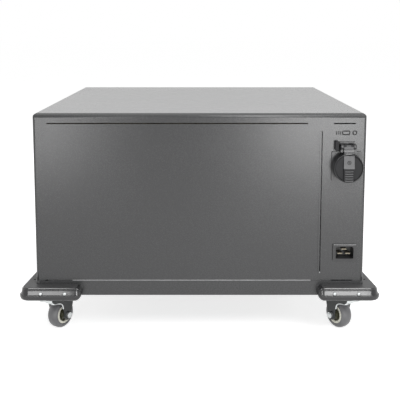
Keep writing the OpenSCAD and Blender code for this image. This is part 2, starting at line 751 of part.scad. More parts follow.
// Sprung lid: a round cap, a middle strap with grip ribs, and the knuckle on the pin
module outlet_lid() {
  face = -half_d - lid_out;
  back = -half_d - cup_out - soft_gap;
  strap = 1.6;
  half = ear_out - ear_w - 0.4;                                              // half width of the knuckle
  pocket = 3.4;                                                              // room for the spring
  color("#161616") translate([socket_x, 0, 0]) difference() {
    union() {
      translate([0, 0, outlet_z]) difference() {
        rod_y(face, back + 7, lid_r);
        rod_y(face + lid_t, back + 8, outlet_cup_r + 0.7);
      }
      block([-strap_w / 2, face - strap, outlet_z - lid_r], [strap_w / 2, face + 1, hinge_lid_z - 4]);
      block([-half, face - strap, hinge_lid_z - 9], [half, hinge_lid_y, hinge_lid_z + 1]);
      translate([0, hinge_lid_y, hinge_lid_z]) rod_x(-half, half, knuckle_r);
      for (i = [0:3])
        block([-strap_w / 2 + 3, face - strap - 0.7, outlet_z - lid_r + 2 + 4 * i],
              [strap_w / 2 - 3, face - strap + 1, outlet_z - lid_r + 4 + 4 * i]);
    }
    translate([0, hinge_lid_y, hinge_lid_z]) {
      rod_x(-ear_out, ear_out, lid_pin_r + run_gap);
      rod_x(-pocket, pocket, pocket);
      block([-pocket, 0, -pocket], [pocket, 10, pocket]);
    }
    block([-far, back, outlet_z + lid_cut_low], [far, back + 10, outlet_z + lid_cut_high]);
  }
}

module lid_pin() {
  color("silver") translate([socket_x, hinge_lid_y, hinge_lid_z]) rod_x(-11.6, 11.6, lid_pin_r);
}

// Coil spring round the lid's pin, drawn as its turns
module lid_spring() {
  wire_r = 0.42;
  color("silver") translate([socket_x, hinge_lid_y, hinge_lid_z]) for (i = [-3:3])
    translate([i * (2 * wire_r + fixed_gap), 0, 0]) rotate([0, 90, 0])
      rotate_extrude() translate([lid_pin_r + wire_r + 0.03, 0]) circle(wire_r);
}

// Screws of the outlet's flange
module panel_screws() {
  color("#303030") for (p = outlet_holes) translate([socket_x + p.x, 0, outlet_z + p.y]) {
    rod_y(-half_d - 3, -half_d + sheet + 4, flange_screw_r);
    rod_y(-half_d - 4.2, -half_d - 3, 2.8);
  }
}

// ---------- mains inlet ----------

inlet_case_w = inlet_w + 3;
inlet_case_h = inlet_h + 3;
inlet_deep = 20;
inlet_flange_t = 2.2;
blade_w = 8;
blade_t = 2;
blade_places = [[-6.5, -3.2], [6.5, -3.2], [0, 4.2]];

module inlet_body() {
  w = inlet_w + 2 * inlet_border + 2;
  h = inlet_h + 2 * inlet_border - 1;
  color("#1c1c1c") translate([socket_x, 0, inlet_z]) difference() {
    union() {
      translate([0, -half_d, 0]) rotate([90, 0, 0]) linear_extrude(inlet_flange_t) round_rect(w, h, 2);
      block([-inlet_case_w / 2, -half_d - 1, -inlet_case_h / 2],
            [inlet_case_w / 2, -half_d + inlet_deep + 4, inlet_case_h / 2]);
    }
    translate([0, -half_d + inlet_deep, 0]) rotate([90, 0, 0]) linear_extrude(inlet_deep + 5)
      cornered([-inlet_w / 2, -inlet_h / 2], [inlet_w / 2, inlet_h / 2], [1, 1, 4, 4]);
    for (p = blade_places) translate([p.x, 0, p.y])
      block([-blade_w / 2 - fixed_gap, -half_d, -blade_t / 2 - fixed_gap],
            [blade_w / 2 + fixed_gap, -half_d + inlet_deep + 5, blade_t / 2 + fixed_gap]);
  }
}
module inlet_blades() {
  color("silver") translate([socket_x, 0, inlet_z]) for (p = blade_places) translate([p.x, 0, p.y])
    block([-blade_w / 2, -half_d + 4.5, -blade_t / 2], [blade_w / 2, -half_d + inlet_deep + 12, blade_t / 2]);
}

// ---------- corner bumpers and casters ----------

// Screw holes through the bumper's nose into the tray's rim, for the right front corner
module bumper_screw_holes(r) {
  for (a = corner_screw_at) {
    translate([half_w + bumper_reach - a, 0, bumper_screw_z]) rod_y(half_d - 3, half_d + bumper_reach + 1, r);
    translate([0, half_d + bumper_reach - a, bumper_screw_z]) rod_x(half_w - 3, half_w + bumper_reach + 1, r);
  }
}

// Half-round rim that wraps the corner, on a foot plate under the box
module corner_bumper() {
  wx = half_w + base_proud;
  wy = half_d + base_proud;
  ox = half_w + bumper_reach - rim_r;                    // centre lines of the round nose
  oy = half_d + bumper_reach - rim_r;
  ex = half_w + bumper_reach - bumper_arm_x + rim_r;     // centres of the round ends
  ey = half_d + bumper_reach - bumper_arm_y + rim_r;
  c = [ox - bumper_bend, oy - bumper_bend];              // centre of the corner's bend
  color("#181818") difference() {
    union() {
      translate([0, 0, bumper_z]) {
        block([ex, wy, -rim_r], [c.x, oy, rim_r]);
        block([wx, ey, -rim_r], [ox, c.y, rim_r]);
        block([wx, wy, -rim_r], [c.x + 1, c.y + 1, rim_r]);
        translate(c) rotate_extrude(angle = 90) {
          area([0, -rim_r], [bumper_bend, rim_r]);
          intersection() {
            translate([bumper_bend, 0]) circle(rim_r);
            area([bumper_bend - eps, -rim_r], [bumper_bend + rim_r, rim_r]);
          }
        }
        translate([0, oy, 0]) rod_x(ex, c.x, rim_r);
        translate([ox, 0, 0]) rod_y(ey, c.y, rim_r);
        translate([ex, 0, 0]) rod_y(wy, oy, rim_r);
        translate([0, ey, 0]) rod_x(wx, ox, rim_r);
        for (p = [[ex, oy], [ox, ey]]) translate([p.x, p.y, 0]) sphere(rim_r);
      }
      block([half_w - bumper_in, half_d - bumper_in, caster_h], [c.x, c.y, base_z]);
    }
    bumper_screw_holes(screw_r + fixed_gap);
    for (a = corner_screw_at) {                          // counterbores
      translate([half_w + bumper_reach - a, 0, bumper_screw_z]) rod_y(seat_y, half_d + far, seat_r);
      translate([0, half_d + bumper_reach - a, bumper_screw_z]) rod_x(seat_x, half_w + far, seat_r);
    }
    translate([half_w + 7, half_d - 23, 0]) rod_z(bumper_z, bumper_z + 20, 2);     // drain hole
    caster_holes(caster_screw_r + fixed_gap);
  }
}

// Four upright holes of a caster plate, at the right front corner
module caster_holes(r) {
  for (sx = [-1, 1], sy = [-1, 1])
    translate([swivel_x + sx * caster_hole_at, swivel_y + sy * caster_hole_at, 0]) rod_z(0, base_z - 0.5, r);
}

module bumpers_rear() at_corners([caster_sides[0], caster_sides[1]]) corner_bumper();
module bumpers_front() at_corners([caster_sides[2], caster_sides[3]]) corner_bumper();

// Screws that hold the bumpers to the tray and the casters to the bumpers
module corner_screws() {
  color("silver") at_corners(caster_sides) {
    for (a = corner_screw_at) {
      translate([half_w + bumper_reach - a, 0, bumper_screw_z]) {
        rod_y(half_d - 4, seat_y, screw_r);
        rod_y(seat_y, seat_y + 1.8, 3);
      }
      translate([0, half_d + bumper_reach - a, bumper_screw_z]) {
        rod_x(half_w - 4, seat_x, screw_r);
        rod_x(seat_x, seat_x + 1.8, 3);
      }
    }
    for (sx = [-1, 1], sy = [-1, 1])
      translate([swivel_x + sx * caster_hole_at, swivel_y + sy * caster_hole_at, 0]) {
        rod_z(caster_h - plate_t, base_z - 1, caster_screw_r);
        rod_z(caster_h - plate_t - 2.6, caster_h - plate_t, 4.4);
      }
  }
}

// Top plates with their race rings and king pins
module caster_plates() {
  head_z = race_z - crown_t - 2 * end_gap;
  color("silver") at_corners(caster_sides) difference() {
    translate([swivel_x, swivel_y, 0]) {
      translate([0, 0, caster_h - plate_t])
        linear_extrude(plate_t) round_rect(caster_plate, caster_plate, 5);
      rod_z(race_z, caster_h - plate_t + eps, crown_r - 1.5);
      rod_z(head_z - head_t, race_z + eps, kingpin_r);
      rod_z(head_z - head_t, head_z, kingpin_r + 3);
    }
    caster_holes(caster_screw_r + fixed_gap);
  }
}

// Carries a child drawn with its swivel axis on the origin, trailing along +X
module at_caster(i) {
  s = caster_sides[i];
  translate([s.x * swivel_x, s.y * swivel_y, 0]) rotate([0, 0, caster_turns[i]]) children();
}

// Pressed fork: round crown, bridge with a front apron, and two legs
module fork() {
  z1 = race_z - end_gap;
  front = -15;
  back = trail + 13;
  apron = 12;
  eye_r = 9;
  color("#303234") difference() {
    union() {
      rod_z(z1 - crown_t, z1, crown_r);
      for (y = [leg_in + leg_t, -leg_in])
        translate([0, y, 0]) rotate([90, 0, 0]) linear_extrude(leg_t) {
          polygon([[front, z1], [back, z1], [back + 2, z1 - 8], [back, z1 - 19],
                   [trail + eye_r - 0.4, wheel_r + 3], [trail, wheel_r - eye_r + 1],
                   [trail - eye_r + 0.4, wheel_r + 3], [trail - 13, wheel_r + 15],
                   [front + 9, z1 - apron - 2], [front, z1 - apron]]);
          translate([trail, wheel_r]) circle(eye_r);
        }
      block([front, -leg_in - 1, z1 - crown_t], [back, leg_in + 1, z1]);
      block([front, -leg_in - 1, z1 - apron], [front + leg_t, leg_in + 1, z1]);
    }
    rod_z(0, far, kingpin_r + run_gap);
    translate([trail, 0, wheel_r]) rod_y(-far, far, axle_r + fixed_gap);
  }
}

// Moulded wheel centre with its bearing boss
module hub() {
  color("ivory") translate([trail, 0, wheel_r]) difference() {
    union() {
      rod_y(-tyre_w / 2 + 1, tyre_w / 2 - 1, hub_r);
      rod_y(-leg_in + 0.5, leg_in - 0.5, 6);
    }
    for (s = [-1, 1]) difference() {                     // dished faces
      rod_y(s > 0 ? tyre_w / 2 - 5 : -tyre_w, s > 0 ? tyre_w : -tyre_w / 2 + 5, hub_r - 5);
      rod_y(-tyre_w, tyre_w, 8);
    }
    rod_y(-far, far, axle_r + run_gap);
  }
}

// Rubber tyre with a rounded tread
module tyre() {
  r = 6;
  color("#5c5c60") translate([trail, 0, wheel_r]) rotate([90, 0, 0]) rotate_extrude() difference() {
    area([hub_r + fixed_gap, -tyre_w / 2], [wheel_r, tyre_w / 2]);
    corner_waste([wheel_r, tyre_w / 2], [1, 1], r);
    corner_waste([wheel_r, -tyre_w / 2], [1, -1], r);
  }
}

// Axle bolt with its head and nut
module axle() {
  out = leg_in + leg_t;
  color("silver") translate([trail, 0, wheel_r]) {
    rod_y(-out, out + 5.5, axle_r);
    rotate([90, 0, 0]) translate([0, 0, out]) cylinder(h = 4, r = 5.6, $fn = 6);
    rotate([90, 0, 0]) translate([0, 0, -out - 4.5]) cylinder(h = 4.5, r = 5.6, $fn = 6);
  }
}

// ---------- electrics ----------

control_x = column_x + side_seam / 2 + (column_w - side_seam / 2) / 2;
display_w = 46;
display_h = 30;
display_drop = 45;       // below the cover's rim
knob_drop = 100;
display_z = cover_z - display_drop;
knob_z = cover_z - knob_drop;
knob_r = 13;
encoder_r = 3.5;
switch_w = 20;
switch_h = 28;
switch_up = 62;
switch_z = rim_z + switch_up;
rocker_turn = 8;         // tilt of the rocker at rest, degrees
rocker_pin_r = 1.5;
supply_t = 39;           // power supply, across, along and up
supply_len = 160;
supply_h = 98;
supply_at = 20;          // its middle, from the box's middle along Y
supply_slot = 6;
board_in = 16;           // controller board behind the box's front
board_t = 1.6;
board_post_r = 3;
terminal = 10;           // width of one terminal block

// Switched-mode supply standing on the tray
module power_supply() {
  x1 = column_x + 3 + supply_t;
  y0 = supply_at - supply_len / 2;
  z0 = base_z + sheet;
  pitch = supply_len / 11;
  color("silver") difference() {
    block([column_x + 3, y0, z0], [x1, y0 + supply_len, z0 + supply_h]);
    for (i = [1:10])
      block([x1 - 1, y0 + i * pitch - supply_slot / 2, z0 + 0.3 * supply_h],
            [x1 + 1, y0 + i * pitch + supply_slot / 2, z0 + 0.85 * supply_h]);
  }
}

// Board behind the control panel, with its parts and stand-off posts
module controller_board() {
  y1 = half_d - board_in;
  y0 = y1 - board_t;
  lo = [column_x + 8, knob_z - 2.3 * knob_r];
  hi = [half_w - 8, display_z + 0.8 * display_h];
  post = board_post_r + 2;
  color("darkgreen") {
    block([lo.x, y0, lo.y], [hi.x, y1, hi.y]);
    for (x = [lo.x + post, hi.x - post], z = [lo.y + post, hi.y - post])
      translate([x, 0, z]) rod_y(y1, half_d - sheet, board_post_r);
    block([control_x - knob_r, y0 - 1.2 * terminal, knob_z + 2 * knob_r],
          [control_x + knob_r, y0, knob_z + 4 * knob_r]);
    for (i = [-1.5:1.5])
      block([control_x + (1.3 * i - 0.5) * terminal, y0 - terminal, lo.y + 2 * post],
            [control_x + (1.3 * i + 0.5) * terminal, y0, lo.y + 2 * post + terminal]);
    translate([control_x, 0, knob_z]) {
      rod_y(y1, half_d - sheet, encoder_r + 2.5);
      rod_y(half_d - sheet, half_d + 9, encoder_r);
    }
  }
}

module display_window() {
  color("black") translate([control_x, 0, display_z])
    block([-display_w / 2, half_d - board_in, -display_h / 2], [display_w / 2, half_d + 0.4, display_h / 2]);
}

module encoder_knob() {
  color("#202020") translate([control_x, 0, knob_z]) {
    difference() {
      union() {
        rod_y(half_d + 1 + soft_gap, half_d + 16, knob_r);
        for (i = [0:11])
          rotate([0, i * 30, 0]) translate([0, 0, knob_r - 0.4]) rod_y(half_d + 4, half_d + 16, 1);
      }
      rod_y(half_d, half_d + 10, encoder_r + run_gap);
      block([-0.8, half_d + 15.2, knob_r - 7], [0.8, half_d + 17, knob_r + 2]);
    }
  }
}

// Frame and case of the power switch
module switch_housing() {
  color("#1c1c1c") translate([control_x, 0, switch_z]) difference() {
    union() {
      translate([0, half_d + 2, 0]) rotate([90, 0, 0])
        linear_extrude(2) round_rect(switch_w + 5, switch_h + 5, 2);
      block([-switch_w / 2, half_d - 22, -switch_h / 2], [switch_w / 2, half_d + 0.5, switch_h / 2]);
    }
    block([-switch_w / 2 + 2, half_d - 12, -switch_h / 2 + 2],
          [switch_w / 2 - 2, half_d + 5, switch_h / 2 - 2]);
    translate([0, half_d - 3, 0]) rod_x(-switch_w / 2 + 1, switch_w / 2 - 1, rocker_pin_r + run_gap);
  }
}

// Rocker on its cross pin, tilted to its off position
module power_rocker() {
  w = switch_w - 4.8;
  h = switch_h - 6.5;
  color("#262626") translate([control_x, half_d - 3, switch_z]) rotate([rocker_turn, 0, 0]) {
    block([-w / 2, -1, -h / 2], [w / 2, 4.6, h / 2]);
    rod_x(-w / 2 - 1, w / 2 + 1, rocker_pin_r);
  }
}

base_tray();
top_cover();
rear_panel();
socket_panel();
side_panel_left();
side_panel_right();
door_frame();
control_panel();
bay_wall();
chamber_liner();
insulation();
bumpers_rear();
bumpers_front();
corner_screws();
caster_plates();
at_caster(0) fork();  // fork_rear_left
at_caster(1) fork();  // fork_rear_right
at_caster(2) fork();  // fork_front_left
at_caster(3) fork();  // fork_front_right
at_caster(0) hub();  // hub_rear_left
at_caster(1) hub();  // hub_rear_right
at_caster(2) hub();  // hub_front_left
at_caster(3) hub();  // hub_front_right
at_caster(0) tyre();  // tyre_rear_left
at_caster(1) tyre();  // tyre_rear_right
at_caster(2) tyre();  // tyre_front_left
at_caster(3) tyre();  // tyre_front_right
at_caster(0) axle();  // axle_rear_left
at_caster(1) axle();  // axle_rear_right
at_caster(2) axle();  // axle_front_left
at_caster(3) axle();  // axle_front_right
door_skin();
door_core();
door_liner();
door_seal();
door_handle();
hinge_pins();
door_magnets();
outlet_body();
outlet_contacts();
outlet_lid();
lid_pin();
lid_spring();
panel_screws();
inlet_body();
inlet_blades();
rod_cradles();
spool_rod(-1);  // spool_rod_rear
spool_rod(1);  // spool_rod_front
duct_cover();
fan_frame();
fan_rotor();
heater_block();
power_supply();
controller_board();
display_window();
encoder_knob();
switch_housing();
power_rocker();
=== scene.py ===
import json
import math

import bmesh
import bpy
from mathutils import Matrix, Vector


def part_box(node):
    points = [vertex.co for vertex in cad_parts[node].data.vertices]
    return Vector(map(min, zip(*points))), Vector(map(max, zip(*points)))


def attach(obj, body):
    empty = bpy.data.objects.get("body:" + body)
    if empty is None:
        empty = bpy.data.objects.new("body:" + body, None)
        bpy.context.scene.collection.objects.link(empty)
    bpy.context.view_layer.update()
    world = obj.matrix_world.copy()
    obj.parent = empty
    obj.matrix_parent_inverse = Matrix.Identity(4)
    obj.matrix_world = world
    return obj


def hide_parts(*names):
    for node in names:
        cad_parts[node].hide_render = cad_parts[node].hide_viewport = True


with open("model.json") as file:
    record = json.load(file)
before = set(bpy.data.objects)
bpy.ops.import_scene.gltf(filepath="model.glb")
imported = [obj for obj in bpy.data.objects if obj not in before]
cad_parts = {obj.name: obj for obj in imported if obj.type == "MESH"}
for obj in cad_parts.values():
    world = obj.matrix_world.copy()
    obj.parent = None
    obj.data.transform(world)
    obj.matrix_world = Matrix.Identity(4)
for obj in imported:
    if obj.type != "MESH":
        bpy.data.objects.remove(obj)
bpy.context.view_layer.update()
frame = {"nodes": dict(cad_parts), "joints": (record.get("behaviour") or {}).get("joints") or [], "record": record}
nodes = frame["nodes"]
joints = {j["name"]: j for j in frame["joints"]}
slotOf = {part["node"]: part["material_slot"] for part in frame["record"]["subparts"]}


class Value:  # a shader output that takes part in sums
    def __init__(self, shader, out):
        self.shader = shader
        self.out = out

    def maths(self, operation, first, second):
        return self.shader.node("ShaderNodeMath", {"operation": operation}, {0: first, 1: second})

    def larger(self, other):
        return self.maths("MAXIMUM", self, other)

    def __add__(self, other):
        return self.maths("ADD", self, other)

    def __radd__(self, other):
        return self.maths("ADD", other, self)

    def __sub__(self, other):
        return self.maths("SUBTRACT", self, other)

    def __rsub__(self, other):
        return self.maths("SUBTRACT", other, self)

    def __mul__(self, other):
        return self.maths("MULTIPLY", self, other)

    def __rmul__(self, other):
        return self.maths("MULTIPLY", other, self)


class Shader:  # the nodes of a material or of the world
    def __init__(self, tree):
        self.tree = tree

    def node(self, kind, settings=None, inputs=None, output=0):
        made = self.tree.nodes.new(kind)
        for key, value in (settings or {}).items():
            if key == "stops":
                self.fillRamp(made.color_ramp, value)
            else:
                setattr(made, key, value)
        for key, value in (inputs or {}).items():
            self.feed(made.inputs[key], value)
        return Value(self, made.outputs[output])

    def fillRamp(self, ramp, stops):
        while len(ramp.elements) < len(stops):
            ramp.elements.new(1.0)
        for element, (place, level) in zip(ramp.elements, stops):
            element.position = place
            element.color = (level, level, level, 1)

    def feed(self, socket, value):
        if isinstance(value, Value):
            self.tree.links.new(value.out, socket)
        elif isinstance(value, tuple) and socket.type == "RGBA" and len(value) == 3:
            socket.default_value = (*value, 1)
        else:
            socket.default_value = value

    def feedNode(self, name, inputs):  # sockets of a node that is there from the start
        for key, value in inputs.items():
            self.feed(self.tree.nodes[name].inputs[key], value)


class Surface(Shader):  # one material with its main shader
    def __init__(self, name):
        self.material = bpy.data.materials.new(name)
        self.material.use_nodes = True
        super().__init__(self.material.node_tree)
        self.main = self.tree.nodes["Principled BSDF"]

    def set(self, **values):  # sockets of the main shader, named without their spaces
        for key, value in values.items():
            for socket in self.main.inputs:
                if socket.name.replace(" ", "").lower() == key.lower():
                    self.feed(socket, value)

    def place(self, stretch=None):
        here = self.node("ShaderNodeTexCoord", output="Object")
        if stretch:
            here = self.node("ShaderNodeMapping", None, {"Vector": here, "Scale": stretch})
        return here

    def noise(self, scale, detail=2.0, rough=0.5, stretch=None):
        inputs = {"Vector": self.place(stretch), "Scale": scale, "Detail": detail, "Roughness": rough}
        return self.node("ShaderNodeTexNoise", None, inputs)

    def cells(self, scale):
        return self.node("ShaderNodeTexVoronoi", None, {"Vector": self.place(), "Scale": scale})

    def ramp(self, value, *stops):
        return self.node("ShaderNodeValToRGB", {"stops": stops}, {"Fac": value})

    def mix(self, factor, first, second):  # sockets 6, 7 and 2 are the node's colours
        return self.node("ShaderNodeMix", {"data_type": "RGBA"}, {0: factor, 6: first, 7: second}, 2)

    def facing(self, axis):  # the surface normal's X, Y or Z
        normal = self.node("ShaderNodeTexCoord", output="Normal")
        return self.node("ShaderNodeSeparateXYZ", None, {0: normal}, axis)

    def bump(self, height, strength, depth):
        return self.node("ShaderNodeBump", None, {"Height": height, "Strength": strength, "Distance": depth})


def shade(colour, factor, lift=0.0):
    return tuple(min(1.0, c * factor + lift) for c in colour)


coatLook = {"cloud": 9.0, "fineShare": 0.6, "tone": ((0.3, 0.0), (0.72, 1.0)), "lighter": 1.14,
            "fineGloss": 0.1, "cloudGloss": 0.04, "depth": 0.00025}


def powderCoat(name, look):
    s = Surface(name)
    way = coatLook
    fine = s.noise(look["grain"], 2.0)
    broad = s.noise(way["cloud"], 3.0)
    tone = s.ramp(fine * way["fineShare"] + broad * (1 - way["fineShare"]), *way["tone"])
    base = look["roughness"] - (way["fineGloss"] + way["cloudGloss"]) / 2
    s.set(baseColor=s.mix(tone, look["colour"], shade(look["colour"], way["lighter"])),
          roughness=fine * way["fineGloss"] + broad * way["cloudGloss"] + base,
          coatWeight=look["coat"], coatRoughness=look["coatRoughness"],
          normal=s.bump(fine, look["relief"], way["depth"]))
    return s.material


plasticLook = {"cloud": 40.0, "lighter": 1.25, "lift": 0.002, "gloss": 0.12, "depth": 0.0002}


def mouldedPlastic(name, look):
    s = Surface(name)
    way = plasticLook
    fine = s.noise(look["grain"], 3.0, 0.6)
    broad = s.noise(way["cloud"], 2.0)
    s.set(baseColor=s.mix(fine * 0.5 + broad * 0.5, look["colour"],
                          shade(look["colour"], way["lighter"], way["lift"])),
          roughness=fine * way["gloss"] + (look["roughness"] - way["gloss"] / 2),
          specularIorLevel=look["specular"],
          normal=s.bump(fine, look["relief"], way["depth"]))
    return s.material


bumperGrain = {"flatFrom": 0.94, "flatTo": 0.985, "gloss": 0.06, "sideRelief": 0.06, "depth": 0.0003}


def bumperPlastic(name, look):  # glossy all round, grained and rougher on its flat top; the lighter colour on the faces that look up is painted light from above
    s = Surface(name)
    way = bumperGrain
    flat = s.ramp(s.facing("Z"), (way["flatFrom"], 0.0), (way["flatTo"], 1.0))
    fine = s.noise(look["grain"], 3.0, 0.6)
    # lighter colour wherever the face looks up: painted light from above
    s.set(baseColor=s.mix(flat, look["colour"], look["topColour"]),
          roughness=flat * look["topRoughness"] + fine * way["gloss"] + look["roughness"],
          specularIorLevel=look["specular"],
          normal=s.bump(fine * (flat + way["sideRelief"]), look["relief"], way["depth"]))
    return s.material


metalLook = {"cloud": 25.0, "streakShare": 0.6, "darker": 0.82, "streakGloss": 0.2, "cloudGloss": 0.08,
             "relief": 0.08, "depth": 0.0001}


def brushedMetal(name, look):
    s = Surface(name)
    way = metalLook
    streaks = s.noise(look["scale"], 3.0, 0.6, look["stretch"])
    cloud = s.noise(way["cloud"], 2.0)
    tone = streaks * way["streakShare"] + cloud * (1 - way["streakShare"])
    base = look["roughness"] - (way["streakGloss"] + way["cloudGloss"]) / 2
    s.set(baseColor=s.mix(tone, shade(look["colour"], way["darker"]), look["colour"]),
          metallic=1.0, roughness=streaks * way["streakGloss"] + cloud * way["cloudGloss"] + base,
          normal=s.bump(streaks, way["relief"], way["depth"]))
    return s.material


rubberLook = {"wear": 60.0, "worn": ((0.35, 0.0), (0.75, 0.8)), "lighter": 1.3, "lift": 0.01, "gloss": 0.2,
              "depth": 0.0003}


def softRubber(name, look):
    s = Surface(name)
    way = rubberLook
    fine = s.noise(look["grain"], 4.0, 0.65)
    worn = s.ramp(s.noise(way["wear"], 2.0), *way["worn"])
    s.set(baseColor=s.mix(worn, look["colour"], shade(look["colour"], way["lighter"], way["lift"])),
          roughness=fine * way["gloss"] + (look["roughness"] - way["gloss"] / 2),
          normal=s.bump(fine, look["relief"], way["depth"]))
    return s.material


foamLook = {"pores": 450.0, "tone": ((0.1, 0.0), (0.6, 1.0)), "darker": 0.75, "gloss": 0.1, "roughness": 0.85,
            "relief": 0.5, "depth": 0.0006}


def foamBoard(name, look):
    s = Surface(name)
    way = foamLook
    pores = s.cells(way["pores"])
    tone = s.ramp(pores, *way["tone"])
    s.set(baseColor=s.mix(tone, shade(look["colour"], way["darker"]), look["colour"]),
          roughness=pores * way["gloss"] + way["roughness"],
          normal=s.bump(pores, way["relief"], way["depth"]))
    return s.material


boardLook = {"trackScale": 260.0, "gap": 0.06, "shift": 0.35, "fleck": 300.0, "gloss": 0.15,
             "roughness": 0.25, "relief": 0.2, "depth": 0.0001}


def circuitBoard(name, look):
    s = Surface(name)
    way = boardLook
    bricks = {"Vector": s.place(), "Scale": way["trackScale"], "Mortar Size": way["gap"],
              "Color1": (0, 0, 0), "Color2": (0, 0, 0), "Mortar": (1, 1, 1)}
    tracks = s.node("ShaderNodeTexBrick", {"offset": way["shift"]}, bricks)
    fleck = s.noise(way["fleck"], 2.0)
    s.set(baseColor=s.mix(tracks, look["colour"], look["track"]),
          roughness=fleck * way["gloss"] + way["roughness"],
          normal=s.bump(tracks, way["relief"], way["depth"]))
    return s.material


glassLook = {"lighter": 2.0, "gloss": 0.06, "relief": 0.02, "depth": 0.0001}


def darkGlass(name, look):
    s = Surface(name)
    way = glassLook
    smear = s.noise(look["smear"], 3.0)
    s.set(baseColor=s.mix(smear, look["colour"], shade(look["colour"], way["lighter"])),
          roughness=smear * way["gloss"] + look["roughness"], specularIorLevel=look["specular"],
          normal=s.bump(smear, way["relief"], way["depth"]))
    return s.material


segmentLook = {"unlit": 0.2, "dimmer": 0.8, "gloss": 0.1, "roughness": 0.3}


def litSegment(name, look):
    s = Surface(name)
    way = segmentLook
    glow = s.noise(look["cloud"], 1.0)
    s.set(baseColor=shade(look["colour"], way["unlit"]),
          emissionColor=s.mix(glow, shade(look["colour"], way["dimmer"]), look["colour"]),
          emissionStrength=look["power"], roughness=glow * way["gloss"] + way["roughness"])
    return s.material


def moulded(colour, roughness, grain, relief, specular=0.5):
    return mouldedPlastic, {"colour": colour, "roughness": roughness, "grain": grain, "relief": relief,
                            "specular": specular}


def metal(colour, roughness, scale, stretch=(1.0, 1.0, 1.0)):
    return brushedMetal, {"colour": colour, "roughness": roughness, "scale": scale, "stretch": stretch}


def rubber(colour, roughness, relief):
    return softRubber, {"colour": colour, "roughness": roughness, "grain": 700.0, "relief": relief}


finishList = {
    "cabinet_sheet": (powderCoat, {"colour": (0.029, 0.0295, 0.0305), "roughness": 0.27, "grain": 900.0,
                                   "relief": 0.1, "coat": 0.06, "coatRoughness": 0.25}),
    "zinc_sheet": metal((0.62, 0.63, 0.64), 0.34, 220.0, (1.0, 1.0, 12.0)),
    "foam": (foamBoard, {"colour": (0.62, 0.56, 0.4)}),
    # bumper: the lighter top colour is painted light from above; the grain and rougher top are its own
    "bumper_plastic": (bumperPlastic, {"specular": 0.56, "colour": (0.016, 0.016, 0.017), "roughness": 0.15,
                                       "topColour": (0.045, 0.045, 0.046), "topRoughness": 0.35,
                                       "grain": 1500.0, "relief": 0.25}),
    "zinc_hardware": metal((0.62, 0.64, 0.64), 0.34, 500.0),
    "fork_steel": moulded((0.012, 0.014, 0.014), 0.34, 900.0, 0.05),
    "hub_plastic": moulded((0.82, 0.8, 0.7), 0.4, 1400.0, 0.1),
    "tread_rubber": rubber((0.14, 0.14, 0.145), 0.36, 0.2),
    "seal_rubber": rubber((0.02, 0.02, 0.02), 0.62, 0.25),
    "black_plastic": moulded((0.017, 0.017, 0.018), 0.3, 1400.0, 0.08),
    "magnet_black": moulded((0.035, 0.033, 0.032), 0.6, 800.0, 0.2),
    "contact_brass": metal((0.2, 0.18, 0.14), 0.5, 500.0),
    "spring_steel": metal((0.6, 0.6, 0.61), 0.25, 500.0),
    "black_screw": moulded((0.03, 0.03, 0.031), 0.35, 900.0, 0.05),
    "rod_aluminium": metal((0.78, 0.79, 0.8), 0.24, 200.0, (10.0, 1.0, 1.0)),
    "supply_case": metal((0.6, 0.61, 0.62), 0.4, 60.0),
    "circuit_board": (circuitBoard, {"colour": (0.008, 0.06, 0.025), "track": (0.03, 0.16, 0.06)}),
    "display_glass": (darkGlass, {"colour": (0.004, 0.004, 0.005), "smear": 70.0, "roughness": 0.16,
                                  "specular": 0.12}),
    # dark olive: partly a bearing's own colour, partly painted shade for the hollow centre of the wheels
    "bearing_grease": moulded((0.06, 0.06, 0.035), 0.34, 600.0, 0.3),
    "lid_black": moulded((0.014, 0.014, 0.015), 0.5, 1400.0, 0.05, specular=0.2),
    "rim_black": moulded((0.014, 0.014, 0.015), 0.24, 1400.0, 0.05),
    "print_black": moulded((0.012, 0.012, 0.012), 0.6, 900.0, 0.05, specular=0.1),
    # pale grey for thin strips and dots that stand for highlights: painted highlights
    "gasket_grey": rubber((0.36, 0.36, 0.365), 0.5, 0.1),
    "strap_grey": moulded((0.05, 0.05, 0.052), 0.33, 1400.0, 0.05),
    "print_white": moulded((0.85, 0.85, 0.84), 0.45, 900.0, 0.05),
    "segment_light": (litSegment, {"colour": (0.45, 0.9, 1.0), "power": 1.1, "cloud": 120.0}),
}
finishes = {name: make(name, look) for name, (make, look) in finishList.items()}
print("finishes: %d" % len(finishes))

edgeLook = {"angle": 35.0, "merge": 1e-6, "segments": 2, "axle": 0.0004}
edgeWidth = {"base_tray": 0.0006, "top_cover": 0.0003, "rear_panel": 0.0006, "socket_panel": 0.0006,
             "side_panel_left": 0.0003, "side_panel_right": 0.0003, "door_frame": 0.0003,
             "control_panel": 0.0003, "door_skin": 0.0004, "outlet_body": 0.0005, "inlet_body": 0.0009,
             "caster_plates": 0.0005, "switch_housing": 0.0004, "power_rocker": 0.0006,
             "encoder_knob": 0.0003, "display_window": 0.0003, "duct_cover": 0.0002, "rod_cradles": 0.0006,
             "spool_rod_rear": 0.0004, "spool_rod_front": 0.0004, "fan_frame": 0.0004,
             "heater_block": 0.0001, "power_supply": 0.0004, "door_magnets": 0.0005}


def roundEdges(thing, width, angle=edgeLook["angle"]):
    bevel = thing.modifiers.new("edges", "BEVEL")
    bevel.width = width
    bevel.segments = edgeLook["segments"]
    bevel.limit_method = "ANGLE"
    bevel.angle_limit = math.radians(angle)


def dressNode(name, thing):
    thing.data.materials.clear()
    thing.data.materials.append(finishes[slotOf[name]])
    for face in thing.data.polygons:
        face.material_index = 0
    if name in edgeWidth or name.startswith("axle_"):
        weld = thing.modifiers.new("weld", "WELD")
        weld.merge_threshold = edgeLook["merge"]
        roundEdges(thing, edgeWidth.get(name, edgeLook["axle"]))


for name, thing in nodes.items():
    dressNode(name, thing)
print("nodes dressed")


tiny = 1e-7  # lengths below this count as nothing


def turned(axis, place):  # local Z onto axis, at place
    return Matrix.Translation(Vector(place)) @ Vector(axis).to_track_quat("Z", "Y").to_matrix().to_4x4()


